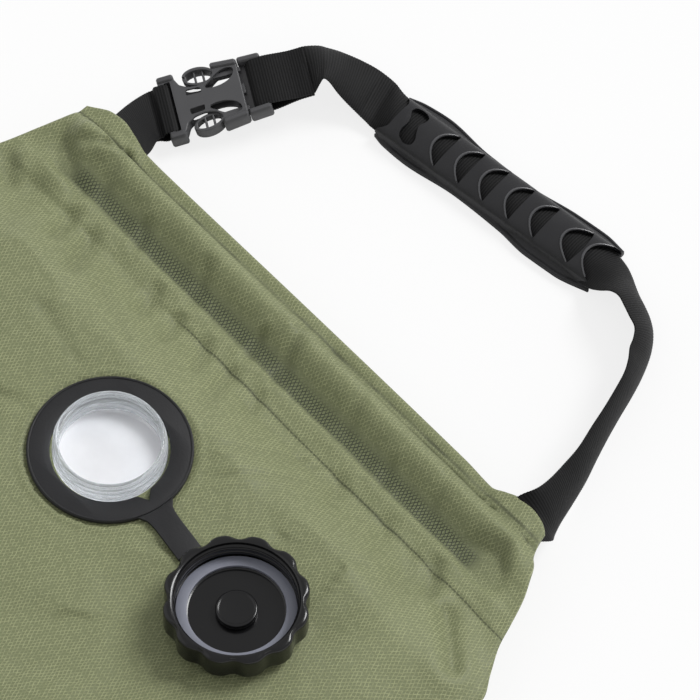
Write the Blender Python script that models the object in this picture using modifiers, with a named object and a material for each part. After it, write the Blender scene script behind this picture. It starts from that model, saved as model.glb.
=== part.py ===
# Camp shower bag: a welded water bag lying on its back, with a threaded fill port, a cap on
# a leash, a hose outlet, and a webbing carry strap with a side-release buckle and a grip.
# +X runs along the top hem, +Y towards the carry strap, +Z out of the front panel.
# The origin is where the fill port's axis meets the face that the bag rests on.
import math

import bmesh
import bpy
from mathutils import Matrix, Vector

# Bag
bag_width = 0.396
bag_length = 0.600
bag_height = 0.047
hem_length = 0.304
hem_to_port = 0.124
shoulder_length = 0.090
bottom_radius = 0.055
seam_height = 0.022
seam_width = 0.007
side_rise = 0.090
end_rise = 0.045
hem_flat = 0.008
hem_rise = 0.042
back_rise = 0.044
fabric_thickness = 0.001
fit_gap = 0.0003
overrun = 0.004

# Top hem
hem_depth = 0.0375
pocket_depth = 0.023
pocket_wall = 0.0014
lip_depth = 0.0085
lip_thickness = 0.0044
bulge_top = 0.0045
bulge_under = 0.0034
leg_thickness = 0.001

# Fill port, with the panel and the leash ring on it
neck_bore = 0.0464
neck_wall = 0.0024
neck_rise = 0.0145
neck_flange_radius = 0.036
neck_flange_thickness = 0.002
thread_pitch = 0.0029
thread_depth = 0.0011
thread_turns = 2
ring_radius = 0.0375
ring_thickness = 0.0024

# Leash
leash_width = 0.012
leash_thickness = 0.0016
leash_lift = 0.0016
leash_deg = -9.0
ring_to_fold = 0.0273
fold_to_cap = 0.0372
eye_radius = 0.0115

# Cap
cap_radius = 0.033
cap_height = 0.014
cap_floor = 0.0028
flute_depth = 0.0018
flute_count = 12
cap_edge = 0.0012
gasket_outer = 0.026
gasket_inner = 0.022
gasket_thickness = 0.0018
cap_recess = 0.0008
stud_head_radius = 0.0095
stud_head_height = 0.0034
stud_radius = 0.004
stud_foot_radius = 0.007
stud_foot_thickness = 0.001

# Webbing and the carry strap
webbing_width = 0.025
webbing_thickness = 0.0015
strap_root_left = -0.126
strap_root_right = 0.136
strap_root_depth = 0.021
strap_floor_gap = 0.0004
short_fold_length = 0.0094
left_run_reach = 0.012
left_run_lead = 0.013
right_run_reach = 0.035
right_run_drop = 0.055
left_run_bank_deg = 72.0
grip_crown = 0.0045

# Buckle, placed by the middle of its mouth, which stands off the ground
buckle_x = -0.1132
buckle_y = 0.1838
buckle_z = 0.0130
buckle_deg = -30.0
buckle_pitch_deg = 11.0
buckle_thickness = 0.0094
buckle_plate = 0.0019
buckle_length = 0.0372
ear_half_width = 0.0170
waist_half_width = 0.0072
mouth_length = 0.0124
buckle_bar = 0.0028
buckle_bar_height = 0.0038
webbing_slot = 0.0042
slot_wall = 0.0016
cavity_half_width = 0.0138
teardrop_length = 0.0125
teardrop_width = 0.0050
teardrop_offset = 0.0092
teardrop_deg = 24.0
small_slot_length = 0.0066
small_slot_width = 0.0026
small_slot_offset = 0.0046
buckle_round = 0.0008

# Male half of the buckle
male_web = 0.0026
male_tongue_width = 0.0050
male_tongue_length = 0.0150
rail_length = 0.0104
rail_width = 0.0042
male_bar_setback = 0.0046
arm_width = 0.0022
arm_offset = 0.0112
pad_length = 0.0154
pad_width = 0.0090
pad_offset = 0.0132
pad_setback = 0.0204
pad_hole_length = 0.0030
pad_hole_width = 0.0040
pad_hole_pitch = 0.0038
tail_length = 0.0235

# Grip
grip_x = 0.0013
grip_y = 0.2335
grip_deg = 7.3
grip_length = 0.127
grip_end_width = 0.0315
grip_waist_width = 0.0284
grip_height = 0.0110
grip_flange = 0.0030
grip_wall = 0.0018
grip_travel = 0.006
grip_slot_pitch = 0.0145
grip_end_slot_pitch = 0.0175
grip_slot_width = 0.0050
grip_slot_length = 0.0190
grip_slot_bow = 0.0036
grip_slot_count = 7

# Hose outlet
outlet_to_bottom = 0.072
outlet_bore = 0.0066
outlet_stem_radius = 0.0062
outlet_flange_radius = 0.016
outlet_flange_thickness = 0.0018
outlet_rise = 0.026
outlet_barb = 0.0010
outlet_barb_pitch = 0.0042
outlet_barb_count = 3
outlet_washer_radius = 0.013
outlet_washer_thickness = 0.0014
outlet_nut_radius = 0.0115
outlet_nut_height = 0.0050

# How finely the round and swept shapes are divided
round_steps = 48
small_steps = 24
thread_steps = 20
flute_steps = 6
strap_steps = 14
grip_steps = 18
outline_steps = 5

# Shares of a length or of a height, where a shape is drawn through set points
end_shares = (0.0, 0.33, 0.66)
dome_shares = (0.24, 0.5, 1.0)
flat_share = 0.8
across_shares = (-1.0, -0.5, 0.0, 0.5, 1.0)
bulge_share = 0.8
bulge_back_share = 0.9
leash_root_share = 1.5
leash_neck_share = 1.05
stand_share = 0.32
lie_share = 0.24
bank_in_share = 0.45
bank_out_share = 0.6
waist_share = 0.75

# Places worked out from the sizes
top_edge = hem_to_port
bottom_edge = hem_to_port - bag_length
weld_line = top_edge - hem_depth
panel_top = weld_line + hem_depth - pocket_depth - pocket_wall
side_end = bottom_edge + bottom_radius
flange_gap = fit_gap / 2
panel_under = bag_height - fabric_thickness
neck_outer = neck_bore / 2 + neck_wall
neck_crest = neck_outer + thread_depth
neck_base = panel_under - fit_gap - neck_flange_thickness
neck_top = bag_height + neck_rise
ring_base = bag_height + fit_gap
leash_base = ring_base + leash_lift
cap_base = leash_base + leash_thickness + fit_gap
outlet_y = bottom_edge + outlet_to_bottom


bpy.ops.object.select_all(action="DESELECT")
for old in list(bpy.data.objects):
    bpy.data.objects.remove(old, do_unlink=True)

parts = bpy.data.collections.new("camp_shower_bag")
tools = bpy.data.collections.new("cutters")
for group in (parts, tools):
    bpy.context.scene.collection.children.link(group)
tools.hide_render = True


def finish(name, colour, roughness, alpha=1.0):
    material = bpy.data.materials.new(name)
    material.use_nodes = True
    shader = material.node_tree.nodes["Principled BSDF"]
    shader.inputs["Base Color"].default_value = (*colour, 1.0)
    shader.inputs["Roughness"].default_value = roughness
    shader.inputs["Metallic"].default_value = 0.0
    shader.inputs["Alpha"].default_value = alpha
    return material


olive_fabric = finish("olive_fabric", (0.23, 0.27, 0.12), 0.6)
back_fabric = finish("back_fabric", (0.30, 0.34, 0.18), 0.6)
black_webbing = finish("black_webbing", (0.012, 0.012, 0.013), 0.85)
buckle_plastic = finish("buckle_plastic", (0.06, 0.06, 0.065), 0.45)
grip_rubber = finish("grip_rubber", (0.02, 0.02, 0.022), 0.5)
clear_plastic = finish("clear_plastic", (0.85, 0.88, 0.9), 0.08, 0.35)
leash_rubber = finish("leash_rubber", (0.015, 0.015, 0.016), 0.4)
cap_plastic = finish("cap_plastic", (0.01, 0.01, 0.011), 0.35)
gasket_silicone = finish("gasket_silicone", (0.32, 0.32, 0.38), 0.5)
outlet_plastic = finish("outlet_plastic", (0.015, 0.015, 0.016), 0.4)


def add_object(name, mesh, material=None):
    """A part of the bag or, with no material, a cutter."""
    made = bpy.data.objects.new(name, mesh)
    if material is None:
        tools.objects.link(made)
        made.hide_render = True
        made.display_type = "WIRE"
        return made
    mesh.materials.clear()
    mesh.materials.append(material)
    parts.objects.link(made)
    mesh.shade_smooth()
    mesh.set_sharp_from_angle(angle=math.radians(35))
    return made


def frame_empty(name, place, turn_deg=0.0, pitch_deg=0.0):
    made = bpy.data.objects.new(name, None)
    made.location = place
    made.rotation_euler = (math.radians(pitch_deg), 0, math.radians(turn_deg))
    parts.objects.link(made)
    return made


def mesh_from(name, points, faces):
    mesh = bpy.data.meshes.new(name)
    mesh.from_pydata([tuple(p) for p in points], [], faces)
    mesh.update()
    return mesh


def combine(target, tool, operation="DIFFERENCE"):
    modifier = target.modifiers.new(operation.lower(), "BOOLEAN")
    modifier.operation = operation
    modifier.solver = "EXACT"
    modifier.object = tool


def turned(name, profile, material=None, steps=round_steps, closed=True):
    """A profile of (radius, height) points turned about Z. It runs down its outer side first."""
    mesh = bpy.data.meshes.new(name)
    edges = [(n, n + 1) for n in range(len(profile) - 1)]
    if closed:
        edges.append((len(profile) - 1, 0))
    mesh.from_pydata([(radius, 0, height) for radius, height in profile], edges, [])
    made = add_object(name, mesh, material)
    screw = made.modifiers.new("turn", "SCREW")
    screw.axis = "Z"
    screw.steps = screw.render_steps = steps
    screw.use_merge_vertices = True
    screw.merge_threshold = 0.00001
    screw.use_smooth_shade = True
    return made


def curve_mesh(name, curve):
    """The mesh of a curve with its caps welded."""
    holder = bpy.data.objects.new(name + "_curve", curve)
    bpy.context.scene.collection.objects.link(holder)
    bpy.context.view_layer.update()
    graph = bpy.context.evaluated_depsgraph_get()
    mesh = bpy.data.meshes.new_from_object(holder.evaluated_get(graph))
    bpy.data.objects.remove(holder, do_unlink=True)
    shape = bmesh.new()
    shape.from_mesh(mesh)
    bmesh.ops.remove_doubles(shape, verts=shape.verts, dist=0.000001)
    bmesh.ops.recalc_face_normals(shape, faces=shape.faces)
    shape.to_mesh(mesh)
    shape.free()
    mesh.name = name
    return mesh


def spline_curve(name, points, dimensions, cyclic):
    curve = bpy.data.curves.new(name, "CURVE")
    curve.dimensions = dimensions
    spline = curve.splines.new("POLY")
    spline.points.add(len(points) - 1)
    for slot, point in zip(spline.points, points):
        slot.co = (*point, 1.0) if len(point) == 3 else (*point, 0.0, 1.0)
    spline.use_cyclic_u = cyclic
    return curve


def flat_solid(name, outlines, thickness, material=None, edge=0.0):
    """Closed outlines of (x, y) points, extruded to a thickness about z = 0, with chamfered edges."""
    curve = spline_curve(name, outlines[0], "2D", True)
    for outline in outlines[1:]:
        spline = curve.splines.new("POLY")
        spline.points.add(len(outline) - 1)
        for slot, point in zip(spline.points, outline):
            slot.co = (*point, 0.0, 1.0)
        spline.use_cyclic_u = True
    curve.fill_mode = "BOTH"
    curve.extrude = thickness / 2 - edge
    curve.bevel_depth = edge
    curve.bevel_resolution = 0
    curve.offset = -edge
    return add_object(name, curve_mesh(name, curve), material)


def box_tool(name, low, high):
    shape = bmesh.new()
    bmesh.ops.create_cube(shape, size=1.0)
    middle = [(a + b) / 2 for a, b in zip(low, high)]
    size = [b - a for a, b in zip(low, high)]
    move = Matrix.Translation(middle) @ Matrix.Diagonal((*size, 1.0))
    bmesh.ops.transform(shape, matrix=move, verts=shape.verts)
    mesh = bpy.data.meshes.new(name)
    shape.to_mesh(mesh)
    shape.free()
    return add_object(name, mesh)


def round_tool(name, radius, low, high, steps=small_steps):
    shape = bmesh.new()
    bmesh.ops.create_cone(
        shape, cap_ends=True, segments=steps, radius1=radius, radius2=radius, depth=high - low
    )
    bmesh.ops.translate(shape, vec=(0, 0, (low + high) / 2), verts=shape.verts)
    mesh = bpy.data.meshes.new(name)
    shape.to_mesh(mesh)
    shape.free()
    return add_object(name, mesh)


def arc(centre, radius, start_deg, end_deg, steps):
    """Points along an arc, both ends included."""
    points = []
    for step in range(steps + 1):
        angle = math.radians(start_deg + (end_deg - start_deg) * step / steps)
        points.append((centre[0] + radius * math.cos(angle), centre[1] + radius * math.sin(angle)))
    return points


def leaf(centre, length, width, turn_deg=0.0, steps=14, blunt_share=0.0):
    """A leaf or teardrop outline, its length along Y before it is turned."""
    turn = math.radians(turn_deg)
    points = []
    for step in range(steps):
        angle = math.tau * step / steps
        across = width / 2 * math.sin(angle) * (1 + blunt_share * math.cos(angle))
        along = length / 2 * math.cos(angle)
        points.append(
            (
                centre[0] + across * math.cos(turn) - along * math.sin(turn),
                centre[1] + across * math.sin(turn) + along * math.cos(turn),
            )
        )
    return points


def half_width(y):
    """Half the bag's width at this height along it."""
    hem_half = hem_length / 2
    bag_half = bag_width / 2
    if y > top_edge - shoulder_length:
        share = (top_edge - y) / shoulder_length
        return hem_half + (bag_half - hem_half) * share * share * (3 - 2 * share)
    if y < side_end:
        below = side_end - y
        return bag_half - bottom_radius + math.sqrt(max(bottom_radius**2 - below**2, 0.0))
    return bag_half


def rise(distance, run):
    return math.sin(math.pi / 2 * min(max(distance / run, 0.0), 1.0))


def smooth(share):
    share = min(max(share, 0.0), 1.0)
    return share * share * (3 - 2 * share)


def pillow(x, y, side_run, end_run):
    """How far a panel has risen from its side and bottom seams here, from 0 to 1."""
    side = rise(half_width(y) - seam_width - abs(x), side_run)
    return side * rise(y - bottom_edge - seam_width, end_run)


def bag_outline():
    """The seam's outer edge as (x, y) points, once round from the middle of the top."""
    half = [(half_width(panel_top) * share, panel_top) for share in (*end_shares, 1.0)]
    shoulder_start = weld_line - seam_width
    shoulder_end = top_edge - shoulder_length
    for step in range(outline_steps):
        y = shoulder_start + (shoulder_end - shoulder_start) * step / (outline_steps - 1)
        half.append((half_width(y), y))
    for step in range(1, outline_steps + 1):
        half.append((bag_width / 2, shoulder_end + (side_end - shoulder_end) * step / outline_steps))
    centre = (bag_width / 2 - bottom_radius, side_end)
    half += arc(centre, bottom_radius, 0.0, -90.0, outline_steps)[1:]
    half += [(centre[0] * share, bottom_edge) for share in reversed(end_shares)]
    return half + [(-x, y) for x, y in reversed(half[1:-1])]


def inset_outline(outline):
    """The seam's inner edge: one point for each point of the outline."""
    points = []
    count = len(outline)
    for n, (x, y) in enumerate(outline):
        if y > weld_line:
            inner = half_width(weld_line) - seam_width
            points.append((x * inner / half_width(panel_top), weld_line))
            continue
        before = Vector(outline[n - 1])
        after = Vector(outline[(n + 1) % count])
        along = (after - before).normalized()
        points.append((x + along.y * seam_width, y - along.x * seam_width))
    return points


def panel(name, material, height_at, faces_up):
    """A welded panel: its flat seam, its dome, and a flat middle at the origin."""
    outline = bag_outline()
    inner = inset_outline(outline)
    count = len(outline)
    rings = [outline, inner]
    for share in dome_shares:
        ring = []
        for x, y in inner:
            length = math.hypot(x, y)
            run = share * min(side_rise, (length - neck_flange_radius) * flat_share)
            ring.append((x * (1 - run / length), y * (1 - run / length)))
        rings.append(ring)
    between, middle = [], []
    for x, y in rings[-1]:
        length = math.hypot(x, y)
        halfway = (length + neck_flange_radius) / 2
        between.append((x * halfway / length, y * halfway / length))
        middle.append((x * neck_flange_radius / length, y * neck_flange_radius / length))
    rings += [between, middle]
    points = [(x, y, height_at(x, y)) for ring in rings for x, y in ring]
    faces = []
    for level in range(len(rings) - 1):
        for n in range(count):
            here = level * count + n
            onward = level * count + (n + 1) % count
            faces.append((here, here + count, onward + count, onward))
    faces.append([(len(rings) - 1) * count + n for n in reversed(range(count))])
    if not faces_up:
        faces = [list(reversed(face)) for face in faces]
    made = add_object(name, mesh_from(name, points, faces), material)
    solidify = made.modifiers.new("fabric", "SOLIDIFY")
    solidify.thickness = fabric_thickness
    solidify.offset = -1.0
    return made


def front_height(x, y):
    low = seam_height + flange_gap + fabric_thickness
    from_hem = smooth((weld_line - hem_flat - y) / hem_rise)
    return low + (bag_height - low) * from_hem * pillow(x, y, side_rise, end_rise)


def back_height(x, y):
    low = seam_height - flange_gap - fabric_thickness
    from_hem = rise(weld_line - y, back_rise)
    return low * (1 - from_hem * pillow(x, y, back_rise, back_rise))


def add_panels():
    front = panel("front_panel", olive_fabric, front_height, True)
    holes = (("neck_hole", neck_outer, 0.0), ("outlet_hole", outlet_stem_radius, outlet_y))
    low = panel_under - overrun
    high = bag_height + overrun
    for name, radius, y in holes:
        hole = round_tool(name, radius + fit_gap, low, high, round_steps)
        hole.location = (0, y, 0)
        combine(front, hole)
    panel("back_panel", back_fabric, back_height, False)


def add_hem():
    """The folded hem: a thin lip, a round bulge over the webbing ends, and two legs on the seam."""
    half_lip = lip_thickness / 2
    groove = fabric_thickness + flange_gap + fit_gap
    leg = groove + leg_thickness
    crest = (lip_depth + pocket_depth) / 2
    pocket_end = pocket_depth + pocket_wall
    profile = [
        (0.0, half_lip),
        (lip_depth, half_lip),
        ((lip_depth + crest) / 2, half_lip + (bulge_top - half_lip) * bulge_share),
        (crest, bulge_top),
        ((crest + pocket_depth) / 2, bulge_top * bulge_back_share),
        (pocket_end, leg),
        (hem_depth - fit_gap, leg),
        (hem_depth - fit_gap, groove),
        (pocket_end, groove),
        (pocket_end, -groove),
        (hem_depth - fit_gap, -groove),
        (hem_depth - fit_gap, -leg),
        (pocket_end, -leg),
        ((crest + pocket_depth) / 2, -bulge_under * bulge_back_share),
        (crest, -bulge_under),
        (lip_depth, -half_lip),
        (0.0, -half_lip),
    ]
    columns = across_shares
    count = len(profile)
    points, faces = [], []
    for share in columns:
        for depth, height in profile:
            y = top_edge - depth
            points.append((half_width(y) * share, y, seam_height + height))
    for column in range(len(columns) - 1):
        for n in range(count):
            here = column * count + n
            onward = column * count + (n + 1) % count
            faces.append((here, here + count, onward + count, onward))
    faces.append(list(range(count)))
    faces.append([(len(columns) - 1) * count + n for n in reversed(range(count))])
    hem = add_object("top_hem", mesh_from("top_hem", points, faces), olive_fabric)
    half = webbing_width / 2 + fit_gap
    tall = webbing_thickness / 2 + fit_gap
    for side, middle in (("left", strap_root_left), ("right", strap_root_right)):
        low = (middle - half, top_edge - pocket_depth, seam_height - tall)
        high = (middle + half, top_edge + overrun, seam_height + tall)
        combine(hem, box_tool("hem_pocket_" + side, low, high))


def helix_tool(name, radius, low, high, steps=thread_steps):
    """A screw thread's ridge: a four-sided bar wound about Z, its middle on the given radius."""
    turns = (high - low) / thread_pitch
    count = int(round(turns * steps))
    points = []
    for n in range(count + 1):
        angle = math.tau * n / steps
        height = low + thread_pitch * n / steps
        points.append((radius * math.cos(angle), radius * math.sin(angle), height))
    curve = spline_curve(name, points, "3D", False)
    curve.bevel_depth = thread_depth
    curve.bevel_resolution = 0
    curve.use_fill_caps = True
    return add_object(name, curve_mesh(name, curve))


def add_fill_port():
    bore = neck_bore / 2
    flange_top = neck_base + neck_flange_thickness
    neck = turned(
        "fill_neck",
        [
            (neck_outer - thread_depth / 2, neck_top),
            (neck_outer, neck_top - thread_depth),
            (neck_outer, flange_top),
            (neck_flange_radius, flange_top),
            (neck_flange_radius, neck_base),
            (bore, neck_base),
            (bore, neck_top),
        ],
        clear_plastic,
    )
    thread_top = neck_top - thread_depth - thread_pitch / 2
    thread_low = thread_top - thread_turns * thread_pitch
    combine(neck, helix_tool("neck_thread", neck_outer, thread_low, thread_top), "UNION")
    ring_bore = neck_outer + fit_gap
    ring_top = ring_base + ring_thickness
    turned(
        "leash_ring",
        [
            (ring_radius - cap_edge / 2, ring_top),
            (ring_radius, ring_top - cap_edge / 2),
            (ring_radius, ring_base),
            (ring_bore, ring_base),
            (ring_bore, ring_top),
        ],
        leash_rubber,
    )


def add_leash(port):
    """The strap from the ring's edge to its fold, and the eye that the cap is pinned to."""
    top = leash_base + leash_thickness
    root = ring_radius + fit_gap
    fold = root + ring_to_fold
    eye_x = fold + fold_to_cap
    half = leash_width / 2
    lift = frame_empty("leash_lift_axis", (root, 0, top))
    lift.parent = port
    strap_outline = [
        (0.0, half * leash_root_share),
        (half, half * leash_neck_share),
        (ring_to_fold - fit_gap, half),
        (ring_to_fold - fit_gap, -half),
        (half, -half * leash_neck_share),
        (0.0, -half * leash_root_share),
    ]
    strap = flat_solid("leash_strap", [strap_outline], leash_thickness, leash_rubber)
    strap.location = (0, 0, -leash_thickness / 2)
    strap.parent = lift
    turn = frame_empty("leash_fold_axis", (ring_to_fold, 0, 0))
    turn.parent = lift
    lap_deg = math.degrees(math.asin(half / eye_radius))
    eye_outline = arc((fold_to_cap, 0), eye_radius, lap_deg - 180, 180 - lap_deg, flute_steps * 4)
    eye_outline += [(0.0, half), (0.0, -half)]
    eye = flat_solid("leash_eye", [eye_outline], leash_thickness, leash_rubber)
    eye.location = (0, 0, -leash_thickness / 2)
    eye.parent = turn
    hole = round_tool("leash_eye_hole", stud_radius + fit_gap, -overrun, overrun)
    hole.location = (fold_to_cap, 0, 0)
    hole.parent = turn
    combine(eye, hole)
    return eye_x


def add_cap(port, eye_x):
    """The cap lies with its inside up, pinned to the leash by a stud through its middle."""
    axis = frame_empty("cap_axis", (eye_x, 0, cap_base))
    axis.parent = port
    outline = []
    count = flute_count * flute_steps
    for n in range(count):
        angle = math.tau * n / count
        dip = (0.5 - 0.5 * math.cos(flute_count * angle)) ** 2
        radius = cap_radius - flute_depth * dip
        outline.append((radius * math.cos(angle), radius * math.sin(angle)))
    cap = flat_solid("screw_cap", [outline], cap_height, cap_plastic, cap_edge)
    cap.location = (0, 0, cap_height / 2)
    cap.parent = axis
    skirt = neck_crest + fit_gap
    recess = gasket_inner - cap_edge
    hollow = turned(
        "cap_hollow",
        [
            (0, cap_height + overrun),
            (skirt, cap_height + overrun),
            (skirt, cap_floor),
            (recess, cap_floor),
            (recess, cap_floor - cap_recess),
            (stud_radius + fit_gap, cap_floor - cap_recess),
            (stud_radius + fit_gap, -overrun),
            (0, -overrun),
        ],
        closed=False,
    )
    hollow.parent = axis
    combine(cap, hollow)
    thread_low = cap_floor + gasket_thickness + thread_pitch
    thread_top = thread_low + thread_turns * thread_pitch
    ridge = helix_tool("cap_thread", skirt, thread_low, thread_top)
    ridge.parent = axis
    combine(cap, ridge, "UNION")
    gasket_low = cap_floor + fit_gap
    gasket_high = gasket_low + gasket_thickness
    gasket = turned(
        "cap_gasket",
        [
            (gasket_outer, gasket_high),
            (gasket_outer, gasket_low),
            (gasket_inner, gasket_low),
            (gasket_inner, gasket_high),
        ],
        gasket_silicone,
    )
    gasket.parent = axis
    head_low = cap_floor - cap_recess + fit_gap
    head_high = head_low + stud_head_height
    foot_high = -2 * fit_gap - leash_thickness
    stud = turned(
        "cap_stud",
        [
            (0, head_high),
            (stud_head_radius - cap_edge / 2, head_high),
            (stud_head_radius, head_high - cap_edge / 2),
            (stud_head_radius, head_low),
            (stud_radius, head_low),
            (stud_radius, foot_high),
            (stud_foot_radius, foot_high),
            (stud_foot_radius, foot_high - stud_foot_thickness),
            (0, foot_high - stud_foot_thickness),
        ],
        cap_plastic,
        small_steps,
        closed=False,
    )
    stud.parent = axis


def ribbon(name, spots, material=None, width=webbing_width, thickness=webbing_thickness):
    """Webbing laid through spots of (middle, across, up, crown), arched by its crown."""
    points, faces = [], []
    for middle, across, up, crown in spots:
        half = (width - crown * crown / width * 8 / 3) / 2
        for share in across_shares:
            points.append(middle + across * half * share + up * crown * (1 - share * share))
    columns = len(across_shares)
    for row in range(len(spots) - 1):
        for n in range(columns - 1):
            here = row * columns + n
            faces.append((here, here + 1, here + columns + 1, here + columns))
    made = add_object(name, mesh_from(name, points, faces), material)
    solidify = made.modifiers.new("webbing", "SOLIDIFY")
    solidify.thickness = thickness
    solidify.offset = 0.0
    return made


def bezier(ends, share):
    """A point and its direction along a cubic curve through four control points."""
    a, b, c, d = ends
    rest = 1 - share
    place = a * rest**3 + b * 3 * rest**2 * share + c * 3 * rest * share**2 + d * share**3
    along = (b - a) * rest**2 + (c - b) * 2 * rest * share + (d - c) * share**2
    return place, along.normalized()


def swept_spots(ends, heights, crowns, bank_at, start_rise=0.0):
    """Spots along a strap that rests on the ground, banked by bank_at, between two heights."""
    spots = []
    up = Vector((0, 0, 1))

    def rest_height(bank):
        tall = abs(math.sin(bank)) * webbing_width + math.cos(bank) * webbing_thickness
        return strap_floor_gap + tall / 2

    for step in range(strap_steps + 1):
        share = step / strap_steps
        place, along = bezier(ends, share)
        bank = bank_at(share)
        side = up.cross(along)
        across = side * math.cos(bank) + up * math.sin(bank)
        height = rest_height(bank)
        held = (heights[0] - rest_height(0.0)) * (1 + 3 * share) * math.cos(bank) ** 2
        height += (held + start_rise * share) * (1 - share) ** 3
        height += (heights[1] - rest_height(0.0)) * share**3
        crown = crowns[0] + (crowns[1] - crowns[0]) * smooth(share * 2)
        spots.append((Vector((place.x, place.y, height)), across, along.cross(across), crown))
    return spots


def straight_spots(start, end, across, crown=0.0, steps=2):
    up = Vector((0, 0, 1))
    return [(start.lerp(end, n / steps), across, up, crown) for n in range(steps + 1)]


def bar_loop(name, reach, material=None):
    """Webbing folded round a bar at the origin, its two layers closing up towards +Y."""
    inner = math.hypot(buckle_bar, buckle_bar_height) / 2 + fit_gap
    outer = inner + webbing_thickness
    skin = arc((0, 0), outer, 180, 360, outline_steps * 2)
    skin = [(y, x) for x, y in skin]
    loop = skin + [(outer * 2, webbing_thickness), (reach, webbing_thickness)]
    loop += [(reach, -webbing_thickness), (outer * 2, -webbing_thickness)]
    eye = [(y, x) for x, y in arc((0, 0), inner, 180, 360, outline_steps * 2)]
    eye.append((outer * 2, 0.0))
    made = flat_solid(name, [loop, eye], webbing_width - 2 * fit_gap, material)
    stand = Matrix.Rotation(math.radians(90), 4, "Z") @ Matrix.Rotation(math.radians(90), 4, "X")
    made.data.transform(stand)
    return made


def rounded_rectangle(half_x, low_y, high_y, radius):
    points = []
    right = half_x - radius
    far = high_y - radius
    near = low_y + radius
    corners = ((right, far), (-right, far), (-right, near), (right, near))
    for quarter, centre in enumerate(corners):
        points += arc(centre, radius, 90 * quarter, 90 * quarter + 90, outline_steps - 2)
    return points


def add_buckle(buckle):
    """Both halves of the buckle, in a frame whose origin is the middle of the housing's mouth."""
    ear_end = -buckle_length
    housing = flat_solid(
        "buckle_female",
        [rounded_rectangle(ear_half_width, ear_end, 0.0, buckle_bar)],
        buckle_thickness,
        buckle_plastic,
        buckle_round,
    )
    housing.parent = buckle
    half_cavity = buckle_thickness / 2 - buckle_plate
    bar_edge = ear_end + buckle_bar
    cavity_end = bar_edge + webbing_slot + slot_wall
    slot_half = webbing_width / 2 + fit_gap
    cuts = [
        box_tool(
            "buckle_cavity",
            (-cavity_half_width, cavity_end, -half_cavity),
            (cavity_half_width, overrun, half_cavity),
        ),
        box_tool(
            "buckle_slot",
            (-slot_half, bar_edge, -buckle_thickness),
            (slot_half, bar_edge + webbing_slot, buckle_thickness),
        ),
    ]
    for level, name in ((1, "over"), (-1, "under")):
        near = level * buckle_bar_height / 2
        far = level * buckle_thickness
        cuts.append(
            box_tool(
                "buckle_bar_" + name,
                (-webbing_width / 2, ear_end - overrun, min(near, far)),
                (webbing_width / 2, bar_edge + webbing_slot / 2, max(near, far)),
            )
        )
    window_reach = -pad_setback
    window_length = pad_length + pad_hole_width / 2
    window_width = (ear_half_width + fit_gap - waist_half_width) * 2
    teardrop_reach = -mouth_length / 2 - buckle_round
    for side, hand in ((-1, "_left"), (1, "_right")):
        window = leaf((side * ear_half_width, window_reach), window_length, window_width)
        drop_at = (side * teardrop_offset, teardrop_reach)
        drop = leaf(drop_at, teardrop_length, teardrop_width, -side * teardrop_deg)
        slit = leaf((side * small_slot_offset, window_reach), small_slot_length, small_slot_width)
        for name, outline in (("window", window), ("teardrop", drop), ("slit", slit)):
            cuts.append(flat_solid(name + hand, [outline], buckle_thickness * 2))
    for cut in cuts:
        cut.parent = buckle
        combine(housing, cut)

    male = frame_empty("buckle_slide_axis", (0, 0, 0))
    male.parent = buckle
    rail_start = fit_gap
    rail_end = rail_start + rail_length
    bar_middle = rail_end - male_bar_setback + buckle_bar / 2
    rail_half = ear_half_width - rail_width
    rails = []
    for side in (-1, 1):
        middle = side * (ear_half_width - rail_width / 2)
        rail = rounded_rectangle(rail_width / 2, rail_start, rail_end, male_web / 2)
        rails.append([(middle + x, y) for x, y in rail])
    frame = flat_solid("buckle_male_frame", rails, buckle_thickness, buckle_plastic, buckle_round)
    frame.parent = male
    bar_low = bar_middle - buckle_bar / 2
    bar_outline = rounded_rectangle(
        rail_half + rail_width / 2, bar_low, bar_low + buckle_bar, buckle_round
    )
    bar = flat_solid("male_bar", [bar_outline], buckle_bar_height)
    bar.parent = male
    combine(frame, bar, "UNION")
    blade_thickness = (half_cavity - fit_gap) * 2
    web_half = cavity_half_width - fit_gap
    web_outline = rounded_rectangle(web_half, -male_web, rail_start + male_web / 2, buckle_round)
    tongue = male_tongue_width / 2
    tongue_outline = rounded_rectangle(tongue, -male_tongue_length, -male_web / 2, tongue / 2)
    for name, outline in (("male_web", web_outline), ("male_tongue", tongue_outline)):
        blade = flat_solid(name, [outline], blade_thickness)
        blade.parent = male
        combine(frame, blade, "UNION")

    for side, name in ((-1, "left"), (1, "right")):
        hinge = (side * arm_offset, -male_web - fit_gap)
        arm_pad = leaf((side * pad_offset - hinge[0], -pad_setback - hinge[1]), pad_length, pad_width)
        arm = flat_solid("buckle_arm_" + name, [arm_pad], blade_thickness, buckle_plastic)
        arm.location = (*hinge, 0)
        arm.parent = male
        lean = side * (pad_offset - arm_offset) / 2
        reach = pad_setback + hinge[1] - pad_length / 3
        beam_outline = [
            (-arm_width / 2, 0.0),
            (arm_width / 2, 0.0),
            (lean + arm_width / 2, -reach),
            (lean - arm_width / 2, -reach),
        ]
        beam = flat_solid("arm_beam_" + name, [beam_outline], blade_thickness)
        beam.location = arm.location
        beam.parent = male
        combine(arm, beam, "UNION")
        for step in (-1, 0, 1):
            spot = (side * pad_offset, -pad_setback + step * pad_hole_pitch)
            hole_width = pad_hole_width * (1 - abs(step) / 4)
            hole = leaf(spot, pad_hole_length, hole_width, steps=flute_steps)
            cut = flat_solid("arm_hole_%s_%d" % (name, step + 2), [hole], buckle_thickness)
            cut.parent = male
            combine(arm, cut)

    tail = bar_loop("strap_buckle_tail", tail_length, black_webbing)
    tail.location = (0, bar_middle, 0)
    tail.parent = male
    return bar_middle


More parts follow.
